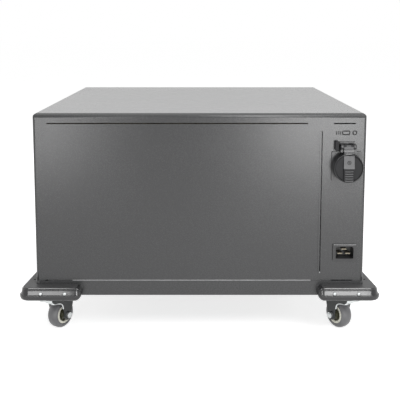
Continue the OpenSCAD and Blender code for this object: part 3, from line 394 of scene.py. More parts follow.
def stitch(bm, first, second):  # faces between two rings, either of which may be one vertex
    count = max(len(first), len(second))
    for i in range(count):
        j = (i + 1) % count
        if len(first) == 1:
            bm.faces.new((first[0], second[j], second[i]))
        elif len(second) == 1:
            bm.faces.new((first[i], first[j], second[0]))
        else:
            bm.faces.new((first[i], first[j], second[j], second[i]))


def skin(bm, rings, closed=False, capped=False):  # faces from ring to ring
    for first, second in zip(rings, rings[1:]):
        stitch(bm, first, second)
    if closed:
        stitch(bm, rings[-1], rings[0])
    if capped:
        bm.faces.new(rings[0][::-1])
        bm.faces.new(rings[-1])


def around(steps):  # the angles of one full turn
    return [2 * math.pi * i / steps for i in range(steps)]


def lathe(bm, profile, turn, steps=48, closed=False):  # profile holds (radius, along) pairs
    rings = []
    for radius, along in profile:
        if radius < tiny:
            rings.append([bm.verts.new(turn @ Vector((0, 0, along)))])
            continue
        rings.append([bm.verts.new(turn @ Vector((radius * math.cos(a), radius * math.sin(a), along)))
                      for a in around(steps)])
    skin(bm, rings, closed)


def rod(bm, radius, length, turn, steps):  # plain round bar along local Z
    lathe(bm, [(0, 0), (radius, 0), (radius, length), (0, length)], turn, steps)


def prism(bm, outline, low, high, turn):  # outline holds points of the local XY plane
    rings = [[bm.verts.new(turn @ Vector((x, y, z))) for x, y in outline] for z in (low, high)]
    skin(bm, rings, capped=True)


def block(bm, low, high):
    outline = [(low[0], low[1]), (high[0], low[1]), (high[0], high[1]), (low[0], high[1])]
    prism(bm, outline, low[2], high[2], Matrix.Identity(4))


def sidePrism(bm, section, half, middle):  # section holds (y, z) pairs, carried across in X
    rings = [[bm.verts.new((x, y, z)) for y, z in section] for x in (middle - half, middle + half)]
    skin(bm, rings, capped=True)


def sweep(bm, path, section, loop=False, first=None):  # carries a closed section along a path
    count = len(path)
    normal = Vector(first) if first else None
    rings = []
    for i in range(count):
        before = path[i - 1] if (i or loop) else path[0]
        after = path[(i + 1) % count] if (i < count - 1 or loop) else path[-1]
        along = (after - before).normalized()
        if normal is None:
            normal = along.orthogonal()
        normal = (normal - along * normal.dot(along)).normalized()
        side = along.cross(normal)
        rings.append([bm.verts.new(path[i] + normal * u + side * v) for u, v in section])
    skin(bm, rings, closed=loop, capped=not loop)


def ring(radius, steps=12, centre=(0.0, 0.0)):
    return [(centre[0] + radius * math.cos(a), centre[1] + radius * math.sin(a)) for a in around(steps)]


def roundOutline(width, height, radius, steps=5, centre=(0.0, 0.0)):
    points = []
    for sx, sy, start in ((1, 1, 0), (-1, 1, 90), (-1, -1, 180), (1, -1, 270)):
        for i in range(steps + 1):
            a = math.radians(start + 90 * i / steps)
            points.append((centre[0] + sx * (width / 2 - radius) + radius * math.cos(a),
                           centre[1] + sy * (height / 2 - radius) + radius * math.sin(a)))
    return points


def smoothPath(points, steps=6, loop=False):  # Catmull-Rom through the points
    points = [Vector(p) for p in points]
    count = len(points)
    made = []
    for i in range(count if loop else count - 1):
        places = [i + k for k in (-1, 0, 1, 2)]
        a, b, c, d = [points[k % count if loop else min(max(k, 0), count - 1)] for k in places]
        for j in range(steps):
            t = j / steps
            made.append(0.5 * (2 * b + (c - a) * t + (2 * a - 5 * b + 4 * c - d) * t * t
                               + (3 * b - a - 3 * c + d) * t ** 3))
    if not loop:
        made.append(points[-1])
    return made


def smoothFaces(mesh, angle):
    for face in mesh.polygons:
        face.use_smooth = True
    mesh.set_sharp_from_angle(angle=math.radians(angle))


def finishPiece(name, bm, finish, body, slotName=None, edge=0.0, sharp=edgeLook["angle"], replaces=()):
    bmesh.ops.remove_doubles(bm, verts=bm.verts, dist=tiny)
    bmesh.ops.recalc_face_normals(bm, faces=bm.faces)
    mesh = bpy.data.meshes.new(name)
    bm.to_mesh(mesh)
    bm.free()
    smoothFaces(mesh, sharp)
    mesh.materials.append(finishes[finish])
    thing = bpy.data.objects.new(name, mesh)
    bpy.context.scene.collection.objects.link(thing)
    if edge:
        roundEdges(thing, edge, sharp)
    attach(thing, body)
    slotName or finish in slotOf.values()
    if replaces:
        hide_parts(*replaces)
    return thing


def carve(thing, cutter):  # takes the cutter's volume away from the piece
    tool = bpy.data.objects.new("cutter", bpy.data.meshes.new("cutter"))
    bmesh.ops.recalc_face_normals(cutter, faces=cutter.faces)
    cutter.to_mesh(tool.data)
    cutter.free()
    bpy.context.scene.collection.objects.link(tool)
    cut = thing.modifiers.new("carve", "BOOLEAN")
    cut.object = tool
    cut.operation = "DIFFERENCE"
    cut.solver = "EXACT"
    bpy.context.view_layer.update()
    mesh = bpy.data.meshes.new_from_object(thing.evaluated_get(bpy.context.evaluated_depsgraph_get()))
    mesh.name = thing.name
    thing.modifiers.clear()
    thing.data = mesh
    smoothFaces(mesh, edgeLook["angle"])
    bpy.data.objects.remove(tool)


corners = {"rear_left": (-1, -1), "rear_right": (1, -1), "front_left": (-1, 1), "front_right": (1, 1)}
halfBox = 0.275  # half the cabinet's width and depth
bumperLook = {"armX": 0.104, "armY": 0.160, "bend": 0.006, "drawIn": 0.012, "inset": 0.0003, "endAngle": 89,
              "screwAt": (0.037, 0.077), "screwUp": 0.002, "seat": 0.0025, "seatRadius": 0.0036,
              "cutLength": 0.02, "holeRadius": 0.002, "holeAt": (0.007, 0.023), "plateReach": 0.061,
              "footRadius": 0.006, "footEdge": 0.0006, "steps": 10, "arcSteps": 14, "armSteps": (5, 16),
              "nose": ((-0.2, 1), (0, 1), (0.4, 0.995), (0.455, 0.98), (0.48, 0.88), (0.485, 0.82),
                       (0.58, 0.805), (0.61, 0.78), (0.635, 0.72), (0.69, 0.48), (0.745, 0.24), (0.8, 0),
                       (0.81, -0.04), (0.84, -0.08), (0.94, -0.1), (0.985, -0.14), (1, -0.23), (1, -0.4),
                       (0.965, -0.62), (0.86, -0.8), (0.64, -0.93), (0.3, -0.99), (0, -1))}
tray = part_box("base_tray")
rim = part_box("bumpers_rear")
rimRadius = (rim[1].z - rim[0].z) / 2
rimZ = (rim[1].z + rim[0].z) / 2
outer = rim[1].x
wall = tray[1].x - bumperLook["inset"]


def drawnIn(y):  # how far the side arm's nose has drawn in at y
    start = outer - rimRadius - bumperLook["bend"]
    end = outer - bumperLook["armY"]
    return bumperLook["drawIn"] * min(1.0, max(0.0, (start - y) / (start - end)))


def bumperRows():  # (nose centre, outward direction, radius, inner point) along the bumper
    look, r = bumperLook, rimRadius
    centreLine = outer - r
    bendCentre = centreLine - look["bend"]
    endX = outer - look["armX"] + r
    endY = outer - look["armY"] + r
    countX, countY = look["armSteps"]
    rows = []
    for i in range(look["steps"] + 1):
        a = math.radians(look["endAngle"] * (1 - i / look["steps"]))
        x = endX - r * math.sin(a)
        rows.append(((x, centreLine), (0, 1), r * math.cos(a), (min(x, wall), wall)))
    for i in range(1, countX):
        x = endX + (bendCentre - endX) * i / countX
        rows.append(((x, centreLine), (0, 1), r, (min(x, wall), wall)))
    for i in range(look["arcSteps"] + 1):
        t = i / look["arcSteps"]
        a = math.radians(90 * (1 - t))
        out = (math.cos(a), math.sin(a))
        nose = (bendCentre + look["bend"] * out[0], bendCentre + look["bend"] * out[1])
        rows.append((nose, out, r, (wall, wall)))
    for i in range(1, countY):
        y = bendCentre + (endY - bendCentre) * i / countY
        rows.append(((centreLine - drawnIn(y), y), (1, 0), r, (wall, min(y, wall))))
    for i in range(look["steps"] + 1):
        a = math.radians(look["endAngle"] * i / look["steps"])
        y = endY - r * math.sin(a)
        rows.append(((centreLine - drawnIn(y), y), (1, 0), r * math.cos(a), (wall, min(y, wall))))
    return rows


def makeBumper(corner, sx, sy):
    look = bumperLook
    bm = bmesh.new()
    rings = []
    for nose, out, r, inner in bumperRows():
        points = [(inner[0], inner[1], -r), (inner[0], inner[1], r)]
        for reach, up in look["nose"]:  # leaning face, rounded above and below
            points.append((nose[0] + out[0] * r * reach, nose[1] + out[1] * r * reach, r * up))
        rings.append([bm.verts.new((sx * x, sy * y, rimZ + z)) for x, y, z in points])
    skin(bm, rings)
    bm.faces.new(rings[0])
    bm.faces.new(rings[-1][::-1])
    node = "bumpers_rear" if sy < 0 else "bumpers_front"
    rimPiece = finishPiece("bumperRim_" + corner, bm, "bumper_plastic", "cabinet", replaces=(node,))

    cutter = bmesh.new()  # seats of the side screws, hole in the flat top
    z = rimZ + look["screwUp"]
    for at in look["screwAt"]:
        along = outer - at
        deep = outer - look["seat"]
        rod(cutter, look["seatRadius"], look["cutLength"], turned((0, sy, 0), (sx * along, sy * deep, z)), 24)
        rod(cutter, look["seatRadius"], look["cutLength"],
            turned((sx, 0, 0), (sx * (deep - drawnIn(along)), sy * along, z)), 24)
    hole = (sx * (tray[1].x + look["holeAt"][0]), sy * (halfBox - look["holeAt"][1]), rimZ)
    rod(cutter, look["holeRadius"], look["cutLength"], turned((0, 0, 1), hole), 20)
    carve(rimPiece, cutter)

    bm = bmesh.new()
    plate = halfBox - look["plateReach"]
    inner = outer - rimRadius - look["bend"]
    width = inner - plate
    middle = (plate + inner) / 2
    outline = roundOutline(width, width, look["footRadius"], 5, (sx * middle, sy * middle))
    prism(bm, outline, rim[0].z, tray[0].z, Matrix.Identity(4))
    finishPiece("bumperFoot_" + corner, bm, "bumper_plastic", "cabinet", edge=look["footEdge"])


for corner, (sx, sy) in corners.items():
    makeBumper(corner, sx, sy)
print("bumpers")

screwLook = {"shaft": 0.0015, "head": 0.0027, "headHeight": 0.0019, "socket": 0.0014, "socketDeep": 0.0009,
             "rearLength": 0.028, "sideLength": 0.025, "plateHead": 0.0044, "plateHeadHeight": 0.0026,
             "plateShaft": 0.0024, "plateLength": 0.004, "plateSink": 0.0025, "plateHoleIn": 0.007,
             "dome": (0, 22, 45, 62), "brim": 0.45}


def capScrew(bm, axis, place, radius, height, shaft, length):  # domed head with a socket
    look = screwLook
    rise = [(math.cos(math.radians(a)), math.sin(math.radians(a))) for a in look["dome"]]
    dome = [(radius * c, height * (look["brim"] + (1 - look["brim"]) * s)) for c, s in rise]
    floor = height - look["socketDeep"]
    lathe(bm, [(shaft, -length), (shaft, 0), (radius, 0)] + dome
          + [(look["socket"], height), (look["socket"], floor), (0, floor)], turned(axis, place), 24)


def makeCornerScrews():
    look, bumper = screwLook, bumperLook
    bm = bmesh.new()
    z = rimZ + bumper["screwUp"]
    head = (look["head"], look["headHeight"], look["shaft"])
    plateHead = (look["plateHead"], look["plateHeadHeight"], look["plateShaft"], look["plateLength"])
    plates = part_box("caster_plates")
    for corner, (sx, sy) in corners.items():
        for at in bumper["screwAt"]:
            along = outer - at
            seat = outer - bumper["seat"]
            capScrew(bm, (0, sy, 0), (sx * along, sy * seat, z), *head, look["rearLength"])
            capScrew(bm, (sx, 0, 0), (sx * (seat - drawnIn(along)), sy * along, z), *head, look["sideLength"])
        swivel = joints["swivel_" + corner]["pos_m"]
        half = plates[1].x - abs(swivel[0]) - look["plateHoleIn"]
        for dx in (-half, half):
            for dy in (-half, half):
                place = (swivel[0] + dx, swivel[1] + dy, plates[1].z - look["plateSink"])
                capScrew(bm, (0, 0, -1), place, *plateHead)
    finishPiece("cornerScrews", bm, "zinc_hardware", "cabinet", replaces=("corner_screws",))


makeCornerScrews()
print("screws")

casterLook = {"wheel": 0.025, "tread": 0.0105, "hubRadius": 0.0168, "ringWidth": 0.0042, "dish": 0.0035,
              "ringFace": 0.001, "bearing": 0.0075, "legIn": 0.0155, "legOut": 0.018, "crown": 0.0215,
              "race": 0.0625, "raceGap": 0.0001, "crownUnder": 0.0595, "stem": 0.0046, "front": -0.0145,
              "back": 0.033, "axle": 0.003,
              "tyreSide": ((-0.0002, 0), (-0.0003, 0.35), (-0.001, 0.6), (-0.0026, 0.8), (-0.0046, 0.93)),
              "tyreLip": ((0.0012, 0), (0.0008, -0.0005), (0.0001, -0.0005)),
              "hubOuter": ((0, -0.0012), (-0.0008, -0.0004)), "hubInner": ((0.0006, -0.0004), (0, -0.001)),
              "webOuter": ((0, 0.0016), (-0.001, 0)), "webInner": ((0.001, 0),),
              "webBoss": ((0.0004, -0.0006), (0, -0.0004), (-0.0012, -0.0004)), "bossWall": 0.0014,
              "ribs": 6, "ribHalf": 0.0007, "ribLow": 0.001, "ribHigh": 0.0022,
              "shield": ((0, -0.0008), (-0.0006, -0.0004)), "shieldIn": 0.0015,
              "shieldCentre": (0.0022, -0.0006),
              "spacer": ((0.002, -0.0006), (0.0001, -0.0005)), "axleGap": 0.0001,
              "crownLow": ((-0.0012, 0), (0, 0.0008)), "crownHigh": ((0, -0.0012), (-0.001, -0.0001)),
              "top": 0.0003, "legCorner": ((0.001, -0.001),),
              "legBack": ((-0.003, -0.0005), (0.001, -0.006), (-0.0005, -0.019)),
              "legFront": ((0.0105, -0.01), (0.0025, -0.009)),
              "legEye": ((0.0085, 0.004), (0.0075, -0.005), (0, -0.009), (-0.0075, -0.005), (-0.0085, 0.004),
                         (-0.0103, 0.0145), (-0.0123, 0.021), (-0.017, 0.025)),
              "bridgeIn": 0.001, "bridgeUp": 0.0002, "forkEdge": 0.0005,
              "sheetHalf": 0.0012, "apronFront": 0.0006, "apronBow": 0.0004, "apronDrop": 0.0092,
              "apronRise": 0.0012, "apronThick": 0.0022, "apronTop": 0.0005, "apronEdge": 0.0003,
              "bead": 0.0012, "beadFront": ((0.0105, -0.0104), (0.004, -0.0092)), "beadLow": 0.0012,
              "beadEye": ((-0.0103, 0.0135), (-0.0123, 0.0208), (-0.017, 0.0246)),
              "beadAcross": (0.85, 0.5, 0, -0.5, -0.85)}


def near(x, y, offsets):  # points by their offsets from (x, y)
    return [(x + a, y + b) for a, b in offsets]


def bothSides(side):  # a half profile and its mirrored half
    return side + [(a, -b) for a, b in side[-2:0:-1]]


def makeWheel(corner, body, spin):
    look = casterLook
    r, t, h, b = look["wheel"], look["tread"], look["hubRadius"], look["bearing"]

    bm = bmesh.new()  # tyre: crowned tread, rounded shoulders, a groove in each side
    half = [(r + drop, share * t) for drop, share in look["tyreSide"]] + near(h, t, look["tyreLip"])
    lathe(bm, [(a, -b) for a, b in half[::-1]] + half[1:], spin, 72, closed=True)
    finishPiece("casterTyre_" + corner, bm, "tread_rubber", body, sharp=50, replaces=("tyre_" + corner,))

    bm = bmesh.new()  # hub: pale outer ring
    ringIn, deep = h - look["ringWidth"], t - look["ringFace"] - look["dish"]
    side = [(h, 0)] + near(h, t, look["hubOuter"]) + near(ringIn, t, look["hubInner"]) + [(ringIn, 0)]
    lathe(bm, bothSides(side), spin, 60, closed=True)
    finishPiece("casterHub_" + corner, bm, "hub_plastic", body, replaces=("hub_" + corner,))

    bm = bmesh.new()  # dished web and ribs inside it, in the dark olive bearing finish instead of the hub's cream plastic: painted shade in the wheel's hollow centre
    web = [(ringIn, 0)] + near(ringIn, deep, look["webOuter"]) + near(b, deep, look["webInner"])
    web += near(b, t, look["webBoss"]) + [(b - look["bossWall"], 0)]
    lathe(bm, bothSides(web), spin, 60, closed=True)
    wide, low, high = look["ribHalf"], deep - look["ribLow"], deep + look["ribHigh"]
    for angle in around(look["ribs"]):
        turn = spin @ Matrix.Rotation(angle, 4, "Z")
        for bottom, top in ((low, high), (-high, -low)):
            prism(bm, [(b, -wide), (ringIn, -wide), (ringIn, wide), (b, wide)], bottom, top, turn)
    finishPiece("casterWeb_" + corner, bm, "bearing_grease", body, slotName="hub_plastic")

    bm = bmesh.new()  # bearing with its shield and spacer; the dark olive is partly the bearing's own colour and partly painted shade in the wheel's hollow centre
    shield, axle = b - look["shieldIn"], look["axle"]
    side = [(shield, 0)] + near(shield, t, look["shield"]) + near(axle, t, (look["shieldCentre"],))
    side += near(axle, look["legIn"], look["spacer"]) + [(axle + look["axleGap"], 0)]
    lathe(bm, side, spin, 40)
    lathe(bm, [(a, -c) for a, c in side], spin, 40)
    finishPiece("casterBearing_" + corner, bm, "bearing_grease", body, slotName="zinc_hardware")


def makeFork(corner, body, toFork, trail):  # toFork turns X ahead and Y across
    look = casterLook
    r, front, back, inside = look["wheel"], look["front"], look["back"], look["legIn"]
    top = look["race"] - look["top"]

    bm = bmesh.new()  # pressed crown, legs and bridge
    lathe(bm, [(look["stem"], look["crownUnder"])] + near(look["crown"], look["crownUnder"], look["crownLow"])
          + near(look["crown"], look["race"], look["crownHigh"])
          + [(look["stem"], look["race"] - look["raceGap"])], toFork, 48, True)
    outline = near(front, top, look["legCorner"]) + near(back, top, look["legBack"])
    outline += near(trail, r, look["legEye"]) + near(front, top, look["legFront"])
    curve = [(p.x, p.y) for p in smoothPath([(x, y, 0) for x, y in outline], 5, True)]
    upright = toFork @ Matrix.Rotation(math.radians(90), 4, "X")
    for low, high in ((-look["legOut"], -inside), (inside, look["legOut"])):
        prism(bm, curve, low, high, upright)
    fore, far, side = front + look["bridgeIn"], back - look["bridgeIn"], inside + look["bridgeIn"]
    prism(bm, [(fore, -side), (far, -side), (far, side), (fore, side)],
          look["crownUnder"] + look["bridgeUp"], top, toFork)
    finishPiece("casterFork_" + corner, bm, "fork_steel", body, edge=look["forkEdge"],
                replaces=("fork_" + corner,))

    bm = bmesh.new()  # curved sheet of the fork in front of the wheel, between the legs, in bright zinc instead of the dark fork steel: a painted highlight
    y = inside + look["sheetHalf"]
    rings = []
    for k in range(13):
        across = -y + 2 * y * k / 12
        bow = 1 - (across / y) ** 2
        x = front + look["apronFront"] - look["apronBow"] * bow
        low = top - look["apronDrop"] + look["apronRise"] * bow
        high, behind = top - look["apronTop"], x + look["apronThick"]
        rings.append([bm.verts.new(toFork @ Vector((a, across, z)))
                      for a, z in ((x, high), (x, low), (behind, low), (behind, high))])
    skin(bm, rings, capped=True)
    finishPiece("casterApron_" + corner, bm, "zinc_hardware", body, edge=look["apronEdge"],
                slotName="fork_steel")

    bm = bmesh.new()  # bright zinc bead along the front edge of the fork: a painted highlight on the fork's dark edge
    down = [(x, y, z) for x, z in near(trail, r, look["beadEye"]) + near(front, top, look["beadFront"])]
    lower = [(front + look["beadLow"], y * k, top - look["apronDrop"] + look["apronRise"] * (1 - k * k))
             for k in look["beadAcross"]]
    path = smoothPath(down + lower + [(x, -y, z) for x, y, z in down[::-1]], 5)
    sweep(bm, [toFork @ p for p in path], ring(look["bead"], 10))
    finishPiece("casterBead_" + corner, bm, "zinc_hardware", body, slotName="zinc_hardware")


def makeCaster(corner):
    swivel = Vector(joints["swivel_" + corner]["pos_m"])
    wheel = Vector(joints["wheel_" + corner]["pos_m"])
    ahead = Vector((wheel.x - swivel.x, wheel.y - swivel.y, 0))
    trail = ahead.length
    ahead.normalize()
    across = Vector((-ahead.y, ahead.x, 0))
    toFork = Matrix((ahead, across, Vector((0, 0, 1)))).transposed().to_4x4()
    toFork.translation = Vector((swivel.x, swivel.y, 0))
    makeWheel(corner, "wheel_" + corner, turned(across, wheel))
    makeFork(corner, "swivel_" + corner, toFork, trail)


for corner in corners:
    makeCaster(corner)
print("casters")

lidLook = {"radius": 0.0243, "rimWidth": 0.0024, "rimHeight": 0.0026, "dish": 0.0052, "skin": 0.0022,
           "collar": 0.0093, "skirtDeep": 0.007, "bore": 0.0225, "discRise": (0.0004, 0.0003),
           "rimFoot": ((-0.0006, 0), (0, 0.0005)), "rimInner": ((0.0003, -0.0005), (0.0008, 0)),
           "rimOuter": ((-0.0012, -0.0002), (-0.0004, -0.0007), (0, -0.0017)),
           "notchUp": 0.010, "notchReach": 0.04, "notchDeep": 0.02,
           "strapHalf": 0.009, "strapSink": 0.001, "strapEdge": 0.0005,
           "strap": ((0.0003, -0.001), (0.0029, 0.0207)),
           "steps": ((0.0052, 0.0211), (0.0053, 0.0238), (0.0040, 0.0241), (0.00425, 0.0262),
                     (0.0062, 0.0266), (0.0078, 0.0298), (0.0066, 0.0302), (0.0071, 0.0344), (0.0092, 0.0366),
                     (0.0109, 0.0374), (0.0109, 0.0310), (0.0098, 0.0285), (0.0085, 0.0211)),
           "stepEdge": 0.0002, "gripHalf": 0.0082, "gripIn": 0.0008, "gripFoot": (0.0012, 0.001),
           "gripTop": 0.0008, "gripEdge": 0.0004, "ribs": 5, "ribRadius": 0.0009, "ribProud": 0.0001,
           "ribSag": 0.0003, "ribFrom": 0.0026, "ribMargin": 0.003, "ribShare": 0.8,
           "emblemUp": 0.0095, "emblemRadius": 0.0032, "emblemHigh": 0.0004, "emblemLow": -0.0003,
           "emblemRing": (0.0001, 0.0009, 0.001), "emblemDot": (0.001, 0.0011),
           "knuckle": 0.004, "knuckleHalf": 0.0078, "springHalf": 0.0036, "pinBore": 0.00156,
           "chamfer": 0.0004, "earWide": 0.0066, "earTall": 0.0165, "earAt": 0.0172, "earUp": 0.0345,
           "earFrom": 0.2752, "earDeep": 0.0085, "earRadius": 0.0025, "earEdge": 0.0006}


def finishLidPiece(name, bm, finish, body="socket_lid", **more):
    return finishPiece(name, bm, finish, body, slotName="black_plastic", **more)


def makeLidCap(middle, up, collar, face):  # dished disc in a raised rim
    look = lidLook
    out = turned((0, -1, 0), (middle, 0, up))
    r, w = look["radius"], look["rimWidth"]
    level = -face
    back, top, under = -(collar + look["skirtDeep"]), level + look["rimHeight"], level - look["skin"]
    rimCurve = near(r - w, level, look["rimFoot"]) + near(r - w, top, look["rimInner"])
    rimCurve += near(r, top, look["rimOuter"])
    inner = rimCurve[0][0]
    bm = bmesh.new()
    lathe(bm, [(0, level + look["discRise"][0]), (r * 0.5, level + look["discRise"][1]), (inner, level),
               (inner, under), (0, under)], out, 96)
    finishLidPiece("outletLidDisc", bm, "lid_black")
    bm = bmesh.new()
    lathe(bm, rimCurve + [(r, back), (look["bore"], back), (look["bore"], under), (inner, under)],
          out, 96, True)
    cap = finishLidPiece("outletLid", bm, "rim_black", replaces=("outlet_lid",))
    cutter = bmesh.new()  # room for the root above the rim
    block(cutter, (middle - look["notchReach"], collar, up + look["notchUp"]),
          (middle + look["notchReach"], collar + look["notchDeep"], up + look["notchReach"]))
    carve(cap, cutter)


def makeLid():
    look = lidLook
    hinge = Vector(joints["lid_hinge"]["pos_m"])
    mount = [m for m in frame["record"]["mounts"] if m["name"] == "outlet_recess"][0]["pos_m"]
    x0, z0 = mount[0], mount[2]
    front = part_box("outlet_lid")[0].y
    face = front + look["dish"]
    behind = face + look["strapSink"]
    makeLidCap(x0, z0, mount[1] - look["collar"], face)

    (yLow, zLow), (yTop, zTop) = near(front, z0, look["strap"])
    bm = bmesh.new()  # strap leaning back to the hinge
    sidePrism(bm, [(yLow, zLow), (yTop, zTop), (behind, zTop), (behind, zLow)], look["strapHalf"], x0)
    finishLidPiece("outletStrap", bm, "strap_grey", edge=look["strapEdge"])
    bm = bmesh.new()  # stepped root and knuckle bar
    sidePrism(bm, near(front, z0, look["steps"]), look["knuckleHalf"], x0)
    finishLidPiece("outletRoot", bm, "strap_grey", edge=look["stepEdge"])
    bm = bmesh.new()  # grip plate under the strap
    low = z0 - look["radius"] + look["gripIn"]
    grip = near(front, low, (look["gripFoot"],))
    grip += [(front + look["gripTop"], zLow), (behind, zLow), (behind, low)]
    sidePrism(bm, grip, look["gripHalf"], x0)
    finishLidPiece("outletGripPlate", bm, "lid_black", edge=look["gripEdge"])
    bm = bmesh.new()  # grip ribs
    pitch = (zLow - low - look["ribMargin"]) / look["ribs"]
    half, proud = look["gripHalf"] * look["ribShare"], front + look["ribRadius"] + look["ribProud"]
    for i in range(look["ribs"]):
        z = low + look["ribFrom"] + pitch * i
        path = [Vector((x0 + half * k / 6, proud, z + look["ribSag"] * (k / 6) ** 2)) for k in range(-6, 7)]
        sweep(bm, path, ring(look["ribRadius"], 10))
    finishLidPiece("outletGrip", bm, "strap_grey")

    bm = bmesh.new()  # small round emblem on the strap
    share = (look["emblemUp"] - look["strap"][0][1]) / (look["strap"][1][1] - look["strap"][0][1])
    slope = math.atan2(yTop - yLow, zTop - zLow)
    on = (x0, yLow + (yTop - yLow) * share, z0 + look["emblemUp"])
    place = turned((0, -math.cos(slope), math.sin(slope)), on)
    e, top, foot = look["emblemRadius"], look["emblemHigh"], look["emblemLow"]
    bevel, bandIn, bandFoot = look["emblemRing"]
    dot, dotFoot = look["emblemDot"]
    lathe(bm, [(e, foot), (e - bevel, top), (e - bandIn, top), (e - bandFoot, foot)], place, 32, True)
    lathe(bm, [(0, top), (dot, top), (dotFoot, foot), (0, foot)], place, 20)
    finishLidPiece("outletEmblem", bm, "print_black")

    bm = bmesh.new()  # knuckles on the pin, with room for the spring between them
    k, c, bore = look["knuckle"], look["chamfer"], look["pinBore"]
    for a, b in ((-look["knuckleHalf"], -look["springHalf"]), (look["springHalf"], look["knuckleHalf"])):
        lathe(bm, [(bore, a), (k - c, a), (k, a + c), (k, b - c), (k - c, b), (bore, b)],
              turned((1, 0, 0), hinge), 40, True)
    finishLidPiece("outletKnuckles", bm, "lid_black")

    bm = bmesh.new()  # dark block beside the hinge, where the hinge's shadow falls on the panel: a painted shadow
    turn = Matrix.Rotation(math.radians(90), 4, "X")
    outline = roundOutline(look["earWide"], look["earTall"], look["earRadius"], 5,
                           (x0 - look["earAt"], z0 + look["earUp"]))
    prism(bm, outline, look["earFrom"], look["earFrom"] + look["earDeep"], turn)
    finishLidPiece("outletEar", bm, "lid_black", "cabinet", edge=look["earEdge"])


makeLid()
print("outlet lid")

markLook = {"up": 0.3475, "thick": 0.00008, "sink": 0.00002, "rise": 0.00003, "line": 0.0009,
            "bars": (0.2255, 0.229, 0.232), "bar": (0.0014, 0.0062, 0.0006), "ring": 0.2555,
            "ringRadius": 0.0031, "box": 0.2413, "boxSize": (0.0118, 0.0058, 0.0015)}


def printLine(bm, outline, lift, radius, turn):  # closed line standing proud of a surface
    sweep(bm, [turn @ Vector((x, y, lift)) for x, y in outline], ring(radius, 6), True)


def makeMarks():  # three plain printed marks above the outlet
    look = markLook
    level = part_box("socket_panel")[0].y
    turn = Matrix.Translation((0, level, look["up"])) @ Matrix.Rotation(math.radians(90), 4, "X")
    bm = bmesh.new()
    for x in look["bars"]:
        prism(bm, roundOutline(*look["bar"], 3, (x, 0)), -look["sink"], look["thick"], turn)
    circle = ring(look["ringRadius"], 24, (look["ring"], 0))
    border = roundOutline(*look["boxSize"], 5, (look["box"], 0))
    for line in (circle, border):
        printLine(bm, line, look["rise"], look["line"], turn)
    for v in bm.verts:  # flattened onto the panel
        v.co.y = max(v.co.y, level - look["thick"])
    finishPiece("columnMarks", bm, "print_black", "cabinet", slotName="black_plastic")


makeMarks()
print("marks")

digitBars = {"0": "abcdef", "1": "bc", "4": "bcfg", "5": "acdfg", "6": "acdefg", "8": "abcdefg"}
figureLook = {"lift": 0.00006, "sink": 0.00001,
              "heat": ("50", (-0.0075, 0.0035),
                       {"wide": 0.0072, "tall": 0.0125, "line": 0.0012, "gap": 0.0032}),
              "humid": ("18", (0.0138, 0.0055),
                        {"wide": 0.0042, "tall": 0.0072, "line": 0.0007, "gap": 0.0022}),
              "hours": ("0640", (-0.0035, -0.0095),
                        {"wide": 0.0042 * 0.8, "tall": 0.0072 * 0.75, "line": 0.0007, "gap": 0.0022}),
              "degree": (0.0011, (0.0045, 0.0085)), "degreeLine": 0.0003}
scaleLook = {"from": 0.0158, "to": 0.0185, "wide": 0.0009, "round": 0.0004, "ticks": 11, "longEvery": 5,
             "sweep": 270.0, "markUp": 0.0218, "markTall": 0.0042, "markWide": 0.0011, "markRound": 0.0005,
             "offRadius": 0.0019, "offLine": 0.0005, "border": 0.004, "borderRound": 0.002,
             "borderLine": 0.0003, "lampRadius": 0.0016, "lampDown": 0.0065, "lampAcross": 0.006,
             "lampDome": ((1.0, -0.0005), (1.0, 0.0003), (0.7, 0.0009), (0, 0.0012))}
knobLook = {"flutes": 24, "fluteDeep": 0.0005, "fluteSteps": 6, "in": 0.0006, "skirt": 0.3,
            "skirtLevels": ((1.0, 0.0), (1.0, 1.0), (0.94, 1.0)),
            "domeLevels": ((0.94, -0.0016), (0.9, -0.0006), (0.84, -0.0002), (0.4, -0.0001)),
            "fluted": (0.9, 0.99), "pointer": (0.0014, 0.0062, 0.0006), "pointerAt": 0.52,
            "pointerDeep": 0.0003}


def panelTurn(x, z, level):  # local X to the right when facing the panel, Y up, Z out of it
    facing = Matrix.Rotation(math.radians(180), 4, "Z") @ Matrix.Rotation(math.radians(90), 4, "X")
    return Matrix.Translation((x, level, z)) @ facing


def addDigit(bm, digit, x, y, size, turn):  # one seven-bar figure
    half, mid, line = size["wide"] / 2, size["tall"] / 2, size["line"]
    places = {"a": (0, mid, 1), "g": (0, 0, 1), "d": (0, -mid, 1), "b": (half, mid / 2, 0),
              "c": (half, -mid / 2, 0), "f": (-half, mid / 2, 0), "e": (-half, -mid / 2, 0)}
    for bar in digitBars[digit]:
        dx, dy, flat = places[bar]
        wide, tall = (size["wide"] - line * 0.9, line) if flat else (line, mid - line * 0.9)
        outline = roundOutline(wide, tall, line * 0.45, 3, (x + dx, y + dy))
        prism(bm, outline, figureLook["sink"], figureLook["lift"], turn)


def addNumber(bm, digits, centre, size, turn):
    pitch = size["wide"] + size["gap"]
    start = -(len(digits) - 1) * pitch / 2
    for i, digit in enumerate(digits):
        addDigit(bm, digit, centre[0] + start + i * pitch, centre[1], size, turn)


def flatten(bm, level):  # nothing printed stands further out than level
    for v in bm.verts:
        v.co.y = min(v.co.y, level)


def makeFigures(window, x):
    look = figureLook
    turn = panelTurn(x, (window[0].z + window[1].z) / 2, window[1].y)
    bm = bmesh.new()
    addNumber(bm, *look["heat"], turn)
    radius, centre = look["degree"]
    printLine(bm, ring(radius, 20, centre), look["lift"] / 2, look["degreeLine"], turn)
    addNumber(bm, *look["humid"], turn)
    addNumber(bm, *look["hours"], turn)
    flatten(bm, window[1].y + look["lift"])
    finishPiece("displayFigures", bm, "segment_light", "cabinet", slotName="display_glass")


